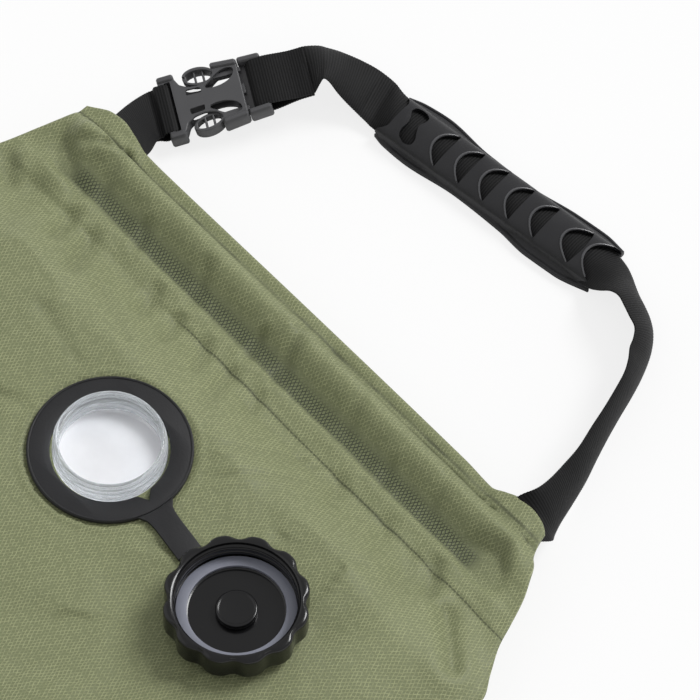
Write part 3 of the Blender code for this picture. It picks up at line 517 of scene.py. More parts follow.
# creases and puckers: start, end, half width, depth; the wrinkle settings scale them all
wrinkle = dict(width=1.1, depth=1.15, reach=4.0, shoulder=0.45, shoulderAt=2.2, shoulderWidth=1.3)
strokes = [
    (-86, 99, -80, 88, 2, 1), (-50, 104, -42, 87, 2.4, 1.1), (-8, 99, -4, 86, 1.8, 1.3),
    (3, 113, 13, 89, 2.6, 1.5), (80, 96, 85, 86, 2, 0.7), (48, 108, 54, 92, 3, 0.8),
    (-118, 112, -112, 96, 3, 0.9), (104, 110, 108, 92, 3, 0.8), (-112, 78, -106, 62, 2.6, 1.5),
    (-98, 77, -85, 55, 3, 1.6), (-58, 80, -52, 66, 2.6, 1.4), (-40, 77, -33, 62, 2.2, 1.2),
    (-22, 77, -12, 62, 2.4, 1.3), (-3, 74, 8, 50, 2.8, 1.3), (14, 76, 20, 64, 2, 0.8),
    (28, 34, 52, 69, 1.6, 0.9), (34, 38, 58, 70, 1.4, 0.6), (70, 74, 80, 60, 2.6, 0.9),
    (100, 74, 112, 56, 3.2, 1), (131, 76, 142, 62, 3, 1.6), (153, 62, 177, 44, 3.4, 2.4),
    (-148, 107, -134, 93, 3.4, 2.2), (-134, 93, -119, 89, 3, 1.6), (-158, 80, -144, 68, 3.2, 2.4),
    (-136, 72, -118, 40, 6, 1.8), (-150, 52, -128, 14, 9, 2), (-118, 118, -128, 113, 1.8, 1.2),
    (-128, 113, -136, 107, 2.2, 1.5), (130, 60, 128, 8, 8, 1.6), (146, 104, 152, 88, 4, 1.6),
    (60, 40, 92, 20, 7, 0.8), (-70, 30, -95, -8, 9, 1.2), (-60, -30, -100, -70, 10, 1.4),
    (60, -45, 100, -90, 12, 1.2), (-150, -120, -60, -160, 16, 1.6), (40, -190, 130, -230, 18, 1.8),
    (38, 19, 62, 57, 1.5, 0.9), (8, 69, 66, 67, 1.7, 0.6), (22, 34, 13, 53, 1.8, 0.7),
    (-38, 46, -70, 58, 2.4, 0.9), (-44, -12, -88, -30, 2.6, 0.9), (44, -20, 84, 4, 2.6, 0.8),
    (84, 26, 118, 46, 3, 0.9), (-44, 20, -84, 30, 3, 0.8), (-130, -300, -50, -330, 16, 1.8),
    (60, -350, 150, -400, 16, 1.6), (-20, -250, 30, -280, 14, 1.2),
]
pits = [(143, 95, 11, 4.6), (-141, 97, 8, 1.6), (-153, 74, 7, 1.4)]  # centre, reach, depth


def fromSegment(x, y, x0, y0, x1, y1):
    dx, dy = x1 - x0, y1 - y0
    near = min(max(((x - x0) * dx + (y - y0) * dy) / (dx * dx + dy * dy), 0.0), 1.0)
    return math.hypot(x - x0 - near * dx, y - y0 - near * dy)


def wrinkled(x, y):
    # how far the creases lift and sink the panel, and how deep in a groove the point lies
    relief, groove = 0.0, 0.0
    for x0, y0, x1, y1, width, depth in strokes:
        width, depth = wrinkle["width"] * width, wrinkle["depth"] * depth
        room = wrinkle["reach"] * width
        if min(x0, x1) - room < x < max(x0, x1) + room and min(y0, y1) - room < y < max(y0, y1) + room:
            away = fromSegment(x, y, x0, y0, x1, y1)
            strength = depth * bell(away, width)
            shoulder = bell(away - wrinkle["shoulderAt"] * width, wrinkle["shoulderWidth"] * width)
            relief += wrinkle["shoulder"] * depth * shoulder - strength
            groove += strength * (1.0 if width < 3.5 else 0.4)
    for px, py, reach, depth in pits:
        strength = math.exp(-(((x - px) / reach) ** 2 + ((y - py) / reach) ** 2) ** 1.3)
        relief -= depth * strength
        groove += 0.45 * depth * strength
    return relief, groove


def bagSides(y):
    if y < bag["bottom"] + bag["corner"]:
        drop = bag["corner"] - (y - bag["bottom"])
        half = bag["half"] - bag["corner"] + math.sqrt(max(bag["corner"] ** 2 - drop**2, 0.0))
        return -half, half
    return -along(leftEdge, y), along(rightEdge, y)


def hemShift(x):
    # the hem's lines lie a little higher at the left than at the right
    return 1.4 - 5.0 * min(max((x + 120) / 260, 0.0), 1.0)


def bagSkin(x, y, sides):
    # heights of the upper and under faces, with the weld share (the weld band, darkened further with painted
    # shade) and the fold share (painted shade in creases and grooves) that colour them
    left, right = sides
    dSide = min(x - left, right - x)
    dTop = along(hemEdge, x) - y
    dBottom = y - bag["bottom"]
    dEdge = min(dSide, dTop, dBottom)
    lip = ramp(dEdge / hem["lip"], 0.5)
    yHem = y - hemShift(x) if y < 117 else min(y, 126)
    taper = hem["thinnest"] + (1 - hem["thinnest"]) * ease(dSide / hem["taper"])
    top, belly = along(hemRelief, yHem) * taper, along(hemBelly, yHem) * taper
    root = max(share * ease((wide - abs(x - at)) / slope) for at, wide, slope, share in hemRoots)
    root *= ease((y - hem["rootFrom"]) / 6)
    top, belly = top + hem["rootLift"] * root, belly + hem["rootSag"] * root
    panel = ease((bag["panelTop"] + hemShift(x) - y) / bag["panelSlope"]) * ramp(dBottom / bag["endSlope"])
    top += bag["rise"] * panel * ramp(dSide / bag["sideSlope"]) + 0.9 * ease((80 - yHem) / 5)
    under = ease((bag["underTop"] - y) / bag["underSlope"]) * ramp(dBottom / bag["endSlope"])
    under *= bag["under"] * ramp(dSide / bag["underSlope"])
    under = max(under, min(belly, bag["under"]))
    relief, groove = wrinkled(x, y)
    collar = math.hypot(x, y)  # distance from the neck's axis
    fromOutlet = math.hypot(x, y - bag["outlet"])
    clearOf = ease((collar - bag["ring"]) / 16) * ease((fromOutlet - bag["outletRoom"]) / 20)
    soft = noise.noise(Vector((x, y, 0)) / 46) * 1.3 + noise.noise(Vector((x, y, 40)) / 19) * 0.45
    soft += noise.noise(Vector((x * 0.9 + y * 0.5, y, 80)) / 9) * 0.14
    open = ease(dSide / 14) * ease(dTop / 5) * ease(dBottom / 20)
    relief = (relief + soft * ease((88 - y) / 20) * 0.9 + soft * 0.3) * clearOf * open
    # the fabric stands up a little round the ring, and dips beyond that
    top += 0.55 * bell(collar - 40.6, 1.2) - 0.25 * bell(collar - 43.5, 1.5)
    high = min(max(top * lip + relief, 0.12 * lip), bag["highest"])
    near, far = bag["studSwing"]
    if collar < bag["ring"] or near < collar < far:  # under the ring and where the cap's stud swings round
        high = min(high, bag["underLeash"])
    # the weld share marks the welded band, whose colour is darkened partly as painted shade
    weld = ease((yHem - hem["weldFrom"]) / 1.6) * ease((hem["weldTo"] - yHem) / 7)
    weld *= ease((x - hem["weldLeft"]) / 14) * ease((hem["weldRight"] - x) / 8)
    # painted shade: the fold share darkens the crease lines, the wrinkle grooves and the pits
    crease = bell(yHem - hem["crease"], 0.55) * ease((x + 40) / 30)
    crease += (0.95 + 0.5 * noise.noise(Vector((x / 9, 0, 7)))) * bell(yHem - hem["groove"], 0.75)
    fold = min(0.75, groove * 0.09 * clearOf + crease * 0.5)
    return bag["seam"] + high, bag["seam"] - under * lip, weld, fold


def makeBag():
    # rows of points, closest at the bottom weld and from the neck to the hem
    rows = [bag["bottom"] + up for up in (0, 0.7, 1.8, 3.5, 6, 10, 15, 21, 28)]
    while rows[-1] < -70:
        rows.append(rows[-1] + 7.0)
    while rows[-1] < 121.5:
        rows.append(rows[-1] + 1.6)
    rows += [122.4, 123.2, 123.8, 124.2, 124.5]
    spread = [-1, -0.9985, -0.995, -0.989, -0.98]
    inner = [-0.97 + 1.94 * n / bag["columns"] for n in range(bag["columns"] + 1)]
    spread = spread + inner + [-v for v in reversed(spread)]
    points, lower, weldShadeShares, foldShadeShares = [], [], [], []
    for y in rows:
        left, right = bagSides(y)
        for u in spread:
            x = (left + right) / 2 + u * (right - left) / 2
            placeY = y + (along(hemEdge, x) - bag["hemTop"]) * ease((y - 106) / 18)
            high, low, weld, fold = bagSkin(x, placeY, (left, right))
            points.append((x, placeY, high))
            lower.append((x, placeY, low))
            weldShadeShares.append(weld)
            foldShadeShares.append(fold)
    wide, tall = len(spread), len(rows)
    under = {}
    for r in range(tall):
        for c in range(wide):
            here = r * wide + c
            if r in (0, tall - 1) or c in (0, wide - 1):  # the two faces are welded along the outline
                points[here] = (points[here][0], points[here][1], bag["seam"])
                under[here] = here
            else:
                under[here] = len(points)
                points.append(lower[here])
                weldShadeShares.append(0.0)
                foldShadeShares.append(0.0)
    faces = []
    for r in range(tall - 1):
        for c in range(wide - 1):
            a, b = r * wide + c, r * wide + c + 1
            d, e = a + wide, b + wide
            faces.append((a, b, e, d))
            faces.append((under[a], under[d], under[e], under[b]))
    mesh = meshOf("bagSkin", points, faces)
    for name, shares in (("weld", weldShadeShares), ("fold", foldShadeShares)):
        layer = mesh.attributes.new(name, "FLOAT", "POINT")
        layer.data.foreach_set("value", shares)
    made = showObject("bagSkin", mesh, oliveFabric)
    well = slab("wellTool", [ringPoints(bag["well"], 96)], 38.0, 70.0)
    cutWith(made, oliveFabric, well)
    softEdges(made, 60)
    place(made, "bag", "olive_fabric", "front_panel", "back_panel", "top_hem")


makeBag()
print("stage: bag")


# Fill port: white lining seen through the mouth, clear threaded neck, ring, leash and cap

port = dict(bore=23.2, wall=25.4, top=58.8, pitch=2.9, ridge=0.85, threadFrom=49.4, threadTo=57.0, ripple=0.22)
leash = dict(
    turn=-9.0, ringRadius=37.5, ringHole=27.0, ringLow=47.3, ringHigh=49.3, low=48.95, high=50.45, half=6.1,
    capAt=102.3, eye=11.4, pin=4.3,
)
screwCap = dict(
    flutes=12, fluteDepth=2.1, low=50.8, high=65.2, radius=33.0, inside=28.4, floor=53.6, boss=9.5,
    ridge=1.1, threadFrom=54.9, threadTo=63.8,
)


def threadAlter(low, high, depth, inward=False):
    # a helical ridge that fades in and out at its ends
    def alter(r, z, turn):
        if not low < z < high:
            return r, z
        phase = (z - low) / port["pitch"] - turn / math.tau
        wave = abs((phase % 1.0) - 0.5) * 2
        ridge = ease(min(1.0, (1 - wave) * 2.6)) * ease((z - low) / 1.4) * ease((high - z) / 1.4)
        return r + (-depth if inward else depth) * ridge, z

    return alter


def spun(name, profile, finish, steps=120, angle=35, alter=None):
    # a lathed piece whose points may then be moved by their radius, height and turn
    made = lathe(name, profile, finish, steps, angle)
    if alter:
        for vertex in made.data.vertices:
            x, y, z = vertex.co / mm
            r = math.hypot(x, y)
            newR, newZ = alter(r, z, math.atan2(y, x))
            if r > 0.01:
                vertex.co = Vector((x * newR / r, y * newR / r, newZ)) * mm
        made.data.update()
    return made


def fill(start, end, steps):
    (r0, z0), (r1, z1) = start, end
    return [(r0 + (r1 - r0) * n / steps, z0 + (z1 - z0) * n / steps) for n in range(steps)]


leashAngle = math.radians(leash["turn"])


def turned(points):
    # from the leash's own frame, which has x along the leash
    c, t = math.cos(leashAngle), math.sin(leashAngle)
    return [(x * c - y * t, x * t + y * c) for x, y in points]


def makeNeck():
    lining = [
        (0, 38.05), (25.8, 38.05), (25.8, 46.9), (25.55, 46.9), (25.55, 39.4), (24, 38.6), (0, 38.6),
    ]
    lining = [p for p in rounded(lining, 0.1, 1) if p[0] > 0.2] + [(0, 38.6), (0, 38.05)]
    place(spun("portLining", lining, innerLining), "bag", "olive_fabric")

    wall, bore, top = port["wall"], port["bore"], port["top"]
    profile = [(35.6, 43.8), (35.9, 44.2), (35.6, 45.6), (wall + 0.5, 45.7), (wall, 46.4)]
    profile += fill((wall, 47.6), (wall - 0.7, top - 1.2), 60)
    profile += [(wall - 0.75, top - 0.7), (wall - 0.95, top - 0.2), (wall - 1.3, top), (bore + 0.5, top)]
    profile += [(bore + 0.15, top - 0.3)] + fill((bore, top - 0.8), (bore, 44.3), 60) + [(bore + 0.2, 43.8)]
    thread = threadAlter(port["threadFrom"], port["threadTo"], port["ridge"])

    def alter(r, z, turn):
        if r > wall - 0.85 and z > 46.5:
            return thread(r, z, turn)
        if r < bore + 0.2 and 46 < z < top - 1.0:
            return r + port["ripple"] * math.sin(math.tau * (z / 1.9 - turn / math.tau)), z
        return r, z

    place(spun("fillNeck", profile, clearPlastic, 144, 40, alter), "bag", "clear_plastic", "fill_neck")


def makeLeash():
    # the ring, with a small notch where the leash starts, and a thin bead along its edge
    hole = [p for p in ringPoints(leash["ringHole"], 120) if not (p[0] > 0 and -3.0 < p[1] < 3.6)]
    split = max(range(len(hole)), key=lambda n: (hole[n][0] > 0 and hole[n][1] < 0) * 100 - abs(hole[n][1] + 3.0))
    hole[split + 1:split + 1] = [(27.2, -3.0), (31.6, 0.2), (27.2, 3.6)]
    outlines = [turned(ringPoints(leash["ringRadius"], 160)), turned(hole)]
    ring = slab("leashRing", outlines, leash["ringLow"], leash["ringHigh"], ringRubber, 0.35)
    bead = rounded([(36.2, 49.2), (36.3, 49.62), (37.0, 49.68), (37.3, 49.2), (36.8, 48.9)], 0.12, 2)
    bead = spun("leashRingBead", bead, ringRubber, 144)
    place(ring, "leash_ring", "leash_rubber", "leash_ring")
    place(bead, "leash_ring", "leash_rubber")

    half, at = leash["half"], leash["capAt"]
    root = [(math.sqrt(37.85**2 - y * y), y) for y in (-9.4, -7.5, -5, -2.5, 0, 2.5, 5, 7.5, 9.4)]
    flare = [(38.6, 8.2), (40.2, 7.0), (42.5, 6.4), (46.0, half)]
    strap = root + flare + [(64.9, half), (64.9, -half)] + [(x, -y) for x, y in reversed(flare)]
    arc = [math.radians(d) for d in range(-148, 149, 8)]
    eye = [(at + leash["eye"] * math.cos(t), leash["eye"] * math.sin(t)) for t in arc]
    eye = [(65.3, -half)] + eye + [(65.3, half)]
    for name, outlines, node in (
        ("leashStrap", [strap], "leash_strap"),
        ("leashEye", [eye, ringPoints(leash["pin"], 24, at)], "leash_eye"),
    ):
        outlines = [turned(outline) for outline in outlines]
        made = slab(name, outlines, leash["low"], leash["high"], ringRubber, 0.3)
        place(made, node, "leash_rubber", node)


def makeCap():
    # the screw cap lies with its open side up
    low, high, radius, inside = screwCap["low"], screwCap["high"], screwCap["radius"], screwCap["inside"]
    floor, boss = screwCap["floor"], screwCap["boss"]
    profile = [(0, low), (30.6, low), (32.2, low + 0.3), (32.9, low + 1.0)]
    profile += fill((radius, 52.4), (radius, 63.6), 12)
    profile += [(radius, 64.0), (32.6, 64.7), (31.9, 65.1), (30.6, high), (29.4, high), (28.7, 64.8)]
    profile += fill((inside, 64.0), (inside, 54.6), 34)
    profile += [(28.2, 53.9), (27.4, floor), (21.8, floor), (21.4, 53.3), (21.4, 52.9), (0, 52.8)]
    thread = threadAlter(screwCap["threadFrom"], screwCap["threadTo"], screwCap["ridge"], inward=True)

    def alter(r, z, turn):
        if r > 29.9:
            phase = (turn * screwCap["flutes"] / math.tau) % 1.0
            flute = max(0.0, math.cos(math.tau * (phase - 0.5)) * 0.5 + 0.5) ** 1.6
            share = ease((r - 29.9) / 2.2)
            return r - screwCap["fluteDepth"] * flute * share, z - 0.5 * flute * ease((z - 63) / 2) * share
        if 27.9 < r < 28.6 and z > 54.4:
            return thread(r, z, turn)
        return r, z

    gasket = rounded([(22.1, 53.7), (27.1, 53.7), (27.1, 55.5), (22.1, 55.5)], 0.35, 2)
    top = [
        (0, 52.9), (7.2, 52.9), (9.3, 53.2), (boss, 56), (8.9, 56.5), (8.2, 56.45), (7.9, 56.2), (0, 56.2),
    ]
    top = [p for p in rounded(top, 0.3, 2) if p[0] > 0.5] + [(0, 56.2), (0, 53.0)]
    foot = [(0, 47.7), (6.9, 47.7), (6.9, 48.55), (4.0, 48.6), (4.0, 50.9), (0, 50.9)]
    shift = Vector((*turned([(leash["capAt"], 0.0)])[0], 0.0)) * mm
    for made, finishSlot, nodes in (
        (spun("screwCap", profile, capPlastic, 288, 38, alter), "cap_plastic", ["screw_cap"]),
        (spun("capGasket", gasket, gasketSilicone, 144), "gasket_silicone", ["cap_gasket"]),
        (spun("capBoss", top, capPlastic, 96), "cap_plastic", ["cap_stud"]),
        (spun("capStudFoot", foot, capPlastic, 64), "cap_plastic", []),
    ):
        made.data.transform(Matrix.Translation(shift))
        place(made, "cap", finishSlot, *nodes)


makeNeck()
makeLeash()
makeCap()
print("stage: fill port")


# Carry strap: ribbed webbing laid through spots of (middle, across, up, crown)

webbing = dict(
    width=25.0, thickness=1.5, pitch=1.25, rib=0.11, fray=0.10, step=0.42, ground=0.4, seam=22.0, gap=0.3,
    mostCrown=2.5,
)
upward = Vector((0, 0, 1))


def crownLoss(crown):
    # how much narrower webbing of this crown is between its edges
    return crown * crown / webbing["width"] * 8 / 3


def evenSpots(spots, step):
    # the same path with spots at even distances along it
    reached = [0.0]
    for before, after in zip(spots, spots[1:]):
        reached.append(reached[-1] + (after[0] - before[0]).length)
    count = max(2, round(reached[-1] / step))
    even, n = [], 0
    for k in range(count + 1):
        at = reached[-1] * k / count
        while n < len(spots) - 2 and reached[n + 1] < at:
            n += 1
        share = (at - reached[n]) / max(reached[n + 1] - reached[n], 1e-9)
        middle, across, up = [a.lerp(b, share) for a, b in zip(spots[n][:3], spots[n + 1][:3])]
        crown = spots[n][3] + (spots[n + 1][3] - spots[n][3]) * share
        even.append((middle, across.normalized(), up.normalized(), crown))
    return even, reached[-1]


def layWebbing(name, spots):
    # a closed ribbon with its weft ribs as geometry
    even, length = evenSpots(spots, webbing["step"])
    shares = [-1.0, -0.97, -0.9, -0.72, -0.5, -0.25, 0.0, 0.25, 0.5, 0.72, 0.9, 0.97, 1.0]
    halfThick = webbing["thickness"] / 2
    points, ribs = [], []
    step = length / (len(even) - 1)
    for k, (middle, across, up, crown) in enumerate(even):
        half = (webbing["width"] - crownLoss(crown)) / 2
        phase = math.tau * k * step / webbing["pitch"]
        wave, fray = math.cos(phase), webbing["fray"] * math.sin(phase + 1.2)
        upper, lower = [], []
        for share in shares:
            thick = halfThick * (1 - 0.45 * ease((abs(share) - 0.86) / 0.14))
            thick += webbing["rib"] * wave * (1 - abs(share) ** 6)
            out = (up + across * (2 * crown * share / half)).normalized()
            here = middle + across * (half + fray) * share + up * crown * (1 - share * share)
            upper.append(here + out * thick)
            lower.append(here - out * thick)
        points += upper + list(reversed(lower))
        ribs += [0.5 + 0.5 * wave] * (2 * len(shares))
    faces = tubeFaces(len(even) - 1, 2 * len(shares))
    mesh = meshOf(name, points, faces)
    faceOutward(mesh)
    layer = mesh.attributes.new("rib", "FLOAT", "POINT")
    layer.data.foreach_set("value", ribs)
    made = showObject(name, mesh, blackWebbing)
    softEdges(made, 55)
    return made


def bezier(ends, share):
    a, b, c, d = ends
    rest = 1 - share
    here = a * rest**3 + b * 3 * rest**2 * share + c * 3 * rest * share**2 + d * share**3
    ahead = (b - a) * rest**2 + (c - b) * 2 * rest * share + (d - c) * share**2
    return here, ahead.normalized()


def throughPoints(points, at):
    # a smooth curve through the points, read at a share of their count
    n = min(int(at), len(points) - 2)
    t = at - n
    b, c = points[n], points[n + 1]
    a = points[n - 1] if n > 0 else b * 2 - c
    d = points[n + 2] if n + 2 < len(points) else c * 2 - b
    return (b * 2 + (c - a) * t + (a * 2 - b * 5 + c * 4 - d) * t * t + (b * 3 - a - c * 3 + d) * t**3) / 2


def ruledSpots(inner, outer, crownEnd, flatFor=1, finer=14):
    # webbing between the paths of its two edges, bowed where they come closer than its width
    count = (len(inner) - 1) * finer
    inner, outer = [[Vector(p) for p in path] for path in (inner, outer)]
    pairs = [(throughPoints(inner, k / finer), throughPoints(outer, k / finer)) for k in range(count + 1)]
    middles = [(a + b) / 2 for a, b in pairs]
    spots = []
    for k, (a, b) in enumerate(pairs):
        chord = (b - a).length
        ahead = (middles[min(k + 1, count)] - middles[max(k - 1, 0)]).normalized()
        across = (b - a).normalized()
        ahead = (ahead - across * ahead.dot(across)).normalized()
        crown = math.sqrt(max(webbing["width"] - chord, 0.0) * webbing["width"] * 3 / 8)
        crown = min(crown, webbing["mostCrown"])
        crown += (crownEnd - crown) * ease((k / count - 0.8) / 0.16)
        spots.append(((a + b) / 2, across, ahead.cross(across), crown * ease(k / finer / flatFor)))
    return spots


def straightSpots(start, end, across, crown=0.0, steps=2):
    return [(start.lerp(end, n / steps), across, upward, crown) for n in range(steps + 1)]


buckle = dict(
    mouth=(-113.2, 183.8, 13.0), heading=-30.0, pitch=11.0, length=37.2, bar=2.8, barTall=3.8, maleBar=7.2,
    fold=9.4, tail=23.5,
)
grip = dict(x=1.3, y=233.5, turn=7.3, shift=2.0, tall=11.0, wall=1.8, crown=4.5, runFrom=-59.0, runTo=51.0)
strapRoot = dict(x=-126.0, depth=21.0, edge=124.0)
heading, pitch = math.radians(buckle["heading"]), math.radians(buckle["pitch"])
forward = Vector((-math.sin(heading), math.cos(heading), 0))
alongBuckle = forward * math.cos(pitch) + upward * math.sin(pitch)
mouth = Vector(buckle["mouth"])
buckleFrame = Matrix.Translation(mouth * mm) @ Matrix.Rotation(heading, 4, "Z") @ Matrix.Rotation(pitch, 4, "X")
# half way up the webbing inside the grip
inside = webbing["ground"] + grip["wall"] + 2 * webbing["gap"] + webbing["thickness"] / 2


def barLoop(middle, upperReach, lowerReach, flip=False):
    # spots of webbing folded round a bar: down one layer, round the bar and back along the other
    inner = math.hypot(buckle["bar"], buckle["barTall"]) / 2 + webbing["gap"]
    bend = inner + webbing["thickness"] / 2
    layer = webbing["thickness"] / 2 + 0.12
    way = -1 if flip else 1
    spots = []
    for n in range(21):
        share = n / 20
        y = upperReach + (bend * 0.9 - upperReach) * share
        spots.append([(y, layer + (bend - layer) * ease((share - 0.25) / 0.75)), (0, 1)])
    for n in range(1, 24):
        turn = math.radians(90 + 180 * n / 24)
        out = (math.cos(turn), math.sin(turn))
        spots.append([(out[0] * bend, out[1] * bend), out])
    for n in range(21):
        share = n / 20
        y = bend * 0.9 + (lowerReach - bend * 0.9) * share
        spots.append([(y, -(bend + (layer - bend) * ease(share / 0.75))), (0, -1)])
    spin = buckleFrame.to_3x3()
    done = []
    for (y, z), (outY, outZ) in spots:
        here = mouth + spin @ Vector((0, middle + way * y, z))
        done.append((here, spin @ Vector((way, 0, 0)), spin @ Vector((0, way * outY, outZ)), 0.0))
    return done


def makeShortStrap():
    # from the hem over the housing's bar and back under itself
    pocket = Vector((strapRoot["x"], strapRoot["edge"] - strapRoot["depth"], webbing["seam"]))
    edge = Vector((strapRoot["x"], strapRoot["edge"] + 0.75, webbing["seam"]))
    loop = barLoop(buckle["bar"] / 2 - buckle["length"], buckle["fold"] - 4.0, buckle["fold"], flip=True)
    start = Vector((-1, 0, 0))
    spots = straightSpots(pocket, edge, start)
    ends = [edge, edge + Vector((-2.0, 6.0, -4.5)), loop[0][0] - alongBuckle * 4.5, loop[0][0]]
    for step in range(1, 41):
        share = step / 40
        here, ahead = bezier(ends, share)
        across = start.lerp(loop[0][1], ease(share)).normalized()
        ahead = (ahead - across * ahead.dot(across)).normalized()
        spots.append((here, across, ahead.cross(across), 0.0))
    return layWebbing("strapShort", spots + loop[1:])


def makeLeftRun(tailEnd):
    # from the male half to the grip: its inner edge lifts where it turns
    side = Vector((math.cos(heading), math.sin(heading), 0)) * webbing["width"] / 2
    low = tailEnd + (buckleFrame.to_3x3() @ upward) * 0.78
    inner = [
        low + side - alongBuckle * 3.0, low + side, (-88.2, 208, 22.2), (-88.6, 210.8, 23), (-86.4, 212.3, 20.6),
        (-82.3, 213.3, 15.4), (-77.8, 214.6, 10.6), (-72.7, 215.9, 6.8), (-66.3, 216.6, 4.6),
        (-60.6, 216.6, inside), (-55, 216.8, inside),
    ]
    outer = [
        low - side - alongBuckle * 3.0, low - side, (-106.2, 223.2, 15.6), (-104.2, 226.6, 12.4),
        (-100.5, 229.9, 10.6), (-96.1, 232.8, 9), (-90.3, 235.8, 7.5), (-82.9, 238.6, 6), (-74.9, 240.2, 4.6),
        (-67.4, 240, inside), (-57.9, 239.4, inside),
    ]
    return layWebbing("strapLeftRun", ruledSpots(inner, outer, grip["crown"]))


def makeRightRun():
    # from the hem to the grip: it turns on to its edge, then lies down again inside the grip
    inner = [
        (148.5, 103, 22), (148.5, 112, 22), (148.6, 119, 21.6), (149, 125.5, 18.5), (147.6, 132, 12),
        (144.8, 140, 6.3), (140.9, 150, 2.8), (136.2, 161.9, 1), (131, 173.3, 1), (126.2, 184.2, 1),
        (121.9, 195.1, 1), (118.2, 205.4, 1), (114.3, 215.3, 1), (110, 224.3, 1), (105.5, 231.3, 1),
        (100.2, 237.1, 1), (94.7, 241, 1), (88.9, 243.6, 1), (83.4, 245.4, 1), (77.7, 248, 1.1),
        (71.9, 250.8, 1.3), (66.7, 252.7, 1.8), (60.8, 253.8, 2.6), (51.2, 253.4, inside),
    ]
    outer = [
        (123.5, 103, 22), (125, 112, 22), (131.5, 120, 21.9), (136.2, 126.2, 23.2), (137, 133.3, 26.2),
        (135.3, 142.4, 26.4), (133, 152.6, 25), (130.6, 164.2, 24.5), (126.8, 176, 24.8), (123.6, 186.4, 24.7),
        (119.9, 196.8, 24.5), (116.4, 205.4, 24.1), (112.3, 211.9, 23), (107.8, 217.3, 22), (104.9, 222.2, 21.2),
        (100.8, 226.6, 21), (94.8, 228.9, 20.6), (89.3, 230.8, 20.7), (83.7, 232.8, 20), (78.2, 233, 17.4),
        (72.2, 231.4, 12.4), (66.2, 230.6, 7.2), (60.4, 230.4, 4.2), (54.1, 230.8, inside),
    ]
    return layWebbing("strapRightRun", ruledSpots(inner, outer, grip["crown"], flatFor=6))


def makeStraps():
    short = makeShortStrap()
    tail = layWebbing("strapTail", barLoop(buckle["maleBar"], buckle["tail"], buckle["tail"]))

    # the piece inside the grip
    turn = math.radians(grip["turn"])
    alongGrip = Vector((math.cos(turn), math.sin(turn), 0))
    acrossGrip = upward.cross(alongGrip)
    middle = Vector((grip["x"], grip["y"], inside)) + acrossGrip * grip["shift"]
    leftEnd, rightEnd = middle + alongGrip * grip["runFrom"], middle + alongGrip * grip["runTo"]
    run = layWebbing("strapGripRun", straightSpots(leftEnd, rightEnd, acrossGrip, grip["crown"]))

    tailEnd = mouth + alongBuckle * (buckle["maleBar"] + buckle["tail"] + webbing["gap"])
    left, right = makeLeftRun(tailEnd), makeRightRun()
    place(short, "bag", "black_webbing", "strap_short", "strap_short_fold")
    place(run, "bag", "black_webbing", "strap_grip_run")
    place(right, "bag", "black_webbing", "strap_right_run")
    place(tail, "buckle_male", "black_webbing", "strap_buckle_tail")
    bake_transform(left)
    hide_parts("strap_left_run")


makeStraps()
print("stage: straps")


# Grip: an arched rubber sleeve, drawn in at its waist, with rimmed crescent slots

nearHalf = [(-64, 11.8), (-57, 13.6), (-43, 14.6), (-16, 12.7), (11, 13.9), (29, 16.2), (45, 16.0), (64, 12.4)]
farHalf = [(-64, 13.2), (-55, 15.4), (-42, 16.4), (-17, 13.4), (8, 12.7), (34, 15.0), (50, 15.4), (64, 13.4)]


def gripHalf(x, side):
    return along(nearHalf if side < 0 else farHalf, x)


sleeve = dict(
    columns=76, rows=132, start=-63.5, length=126.0, tubeHalf=11.6, tubeFoot=5.4, climb=0.8, blunt=4.2,
    bow=10.8, bowHalf=11.9, slotHalf=9.7, slotTop=20.0,
)
slotsAt = ((-37.2, 6.6), (-22.9, 6.6), (-8.6, 6.6), (6.4, 6.6), (21, 6.8), (38.8, 9))  # place, depth
waistedSlot = [
    (-55.2, 8.4), (-51.4, 9.6), (-47.2, 8.2), (-46.8, 4.8), (-48.4, 1.6), (-46.8, -2), (-44.6, -5.4),
    (-44.8, -8.4), (-48.6, -9.6), (-52.6, -8), (-53.4, -4.6), (-52.6, -1), (-53.6, 2.4), (-55.8, 5.2),
]


def gripDome(x, y):
    # an arched tube on a flange; each band of the tube climbs to the next slot's rim
    half, tubeHalf, foot = gripHalf(x, y), sleeve["tubeHalf"], sleeve["tubeFoot"]
    y = abs(y)
    if y < tubeHalf:
        starts = [-64.0, -49.0] + [at + deep for at, deep in slotsAt]
        stops = [-56.0] + [at for at, _ in slotsAt] + [53.5]
        climb = 0.0
        for start, stop in zip(starts, stops):
            if start <= x <= stop + 7:
                climb = sleeve["climb"] * min((x - start) / (stop - start), 1.0)
        crest = math.sqrt(max(1 - (y / tubeHalf) ** 2, 0.0))
        return foot + (grip["tall"] - 0.9 + climb - foot) * crest
    share = min((y - tubeHalf) / max(half - 0.6 - tubeHalf, 0.1), 1.0)
    groove = 0.5 * bell(half - y - 1.5, 0.3) * ease((half - tubeHalf - 1.2) / 1.5)
    return foot - (foot - 3.5) * (1 - (1 - share) ** 2) - groove


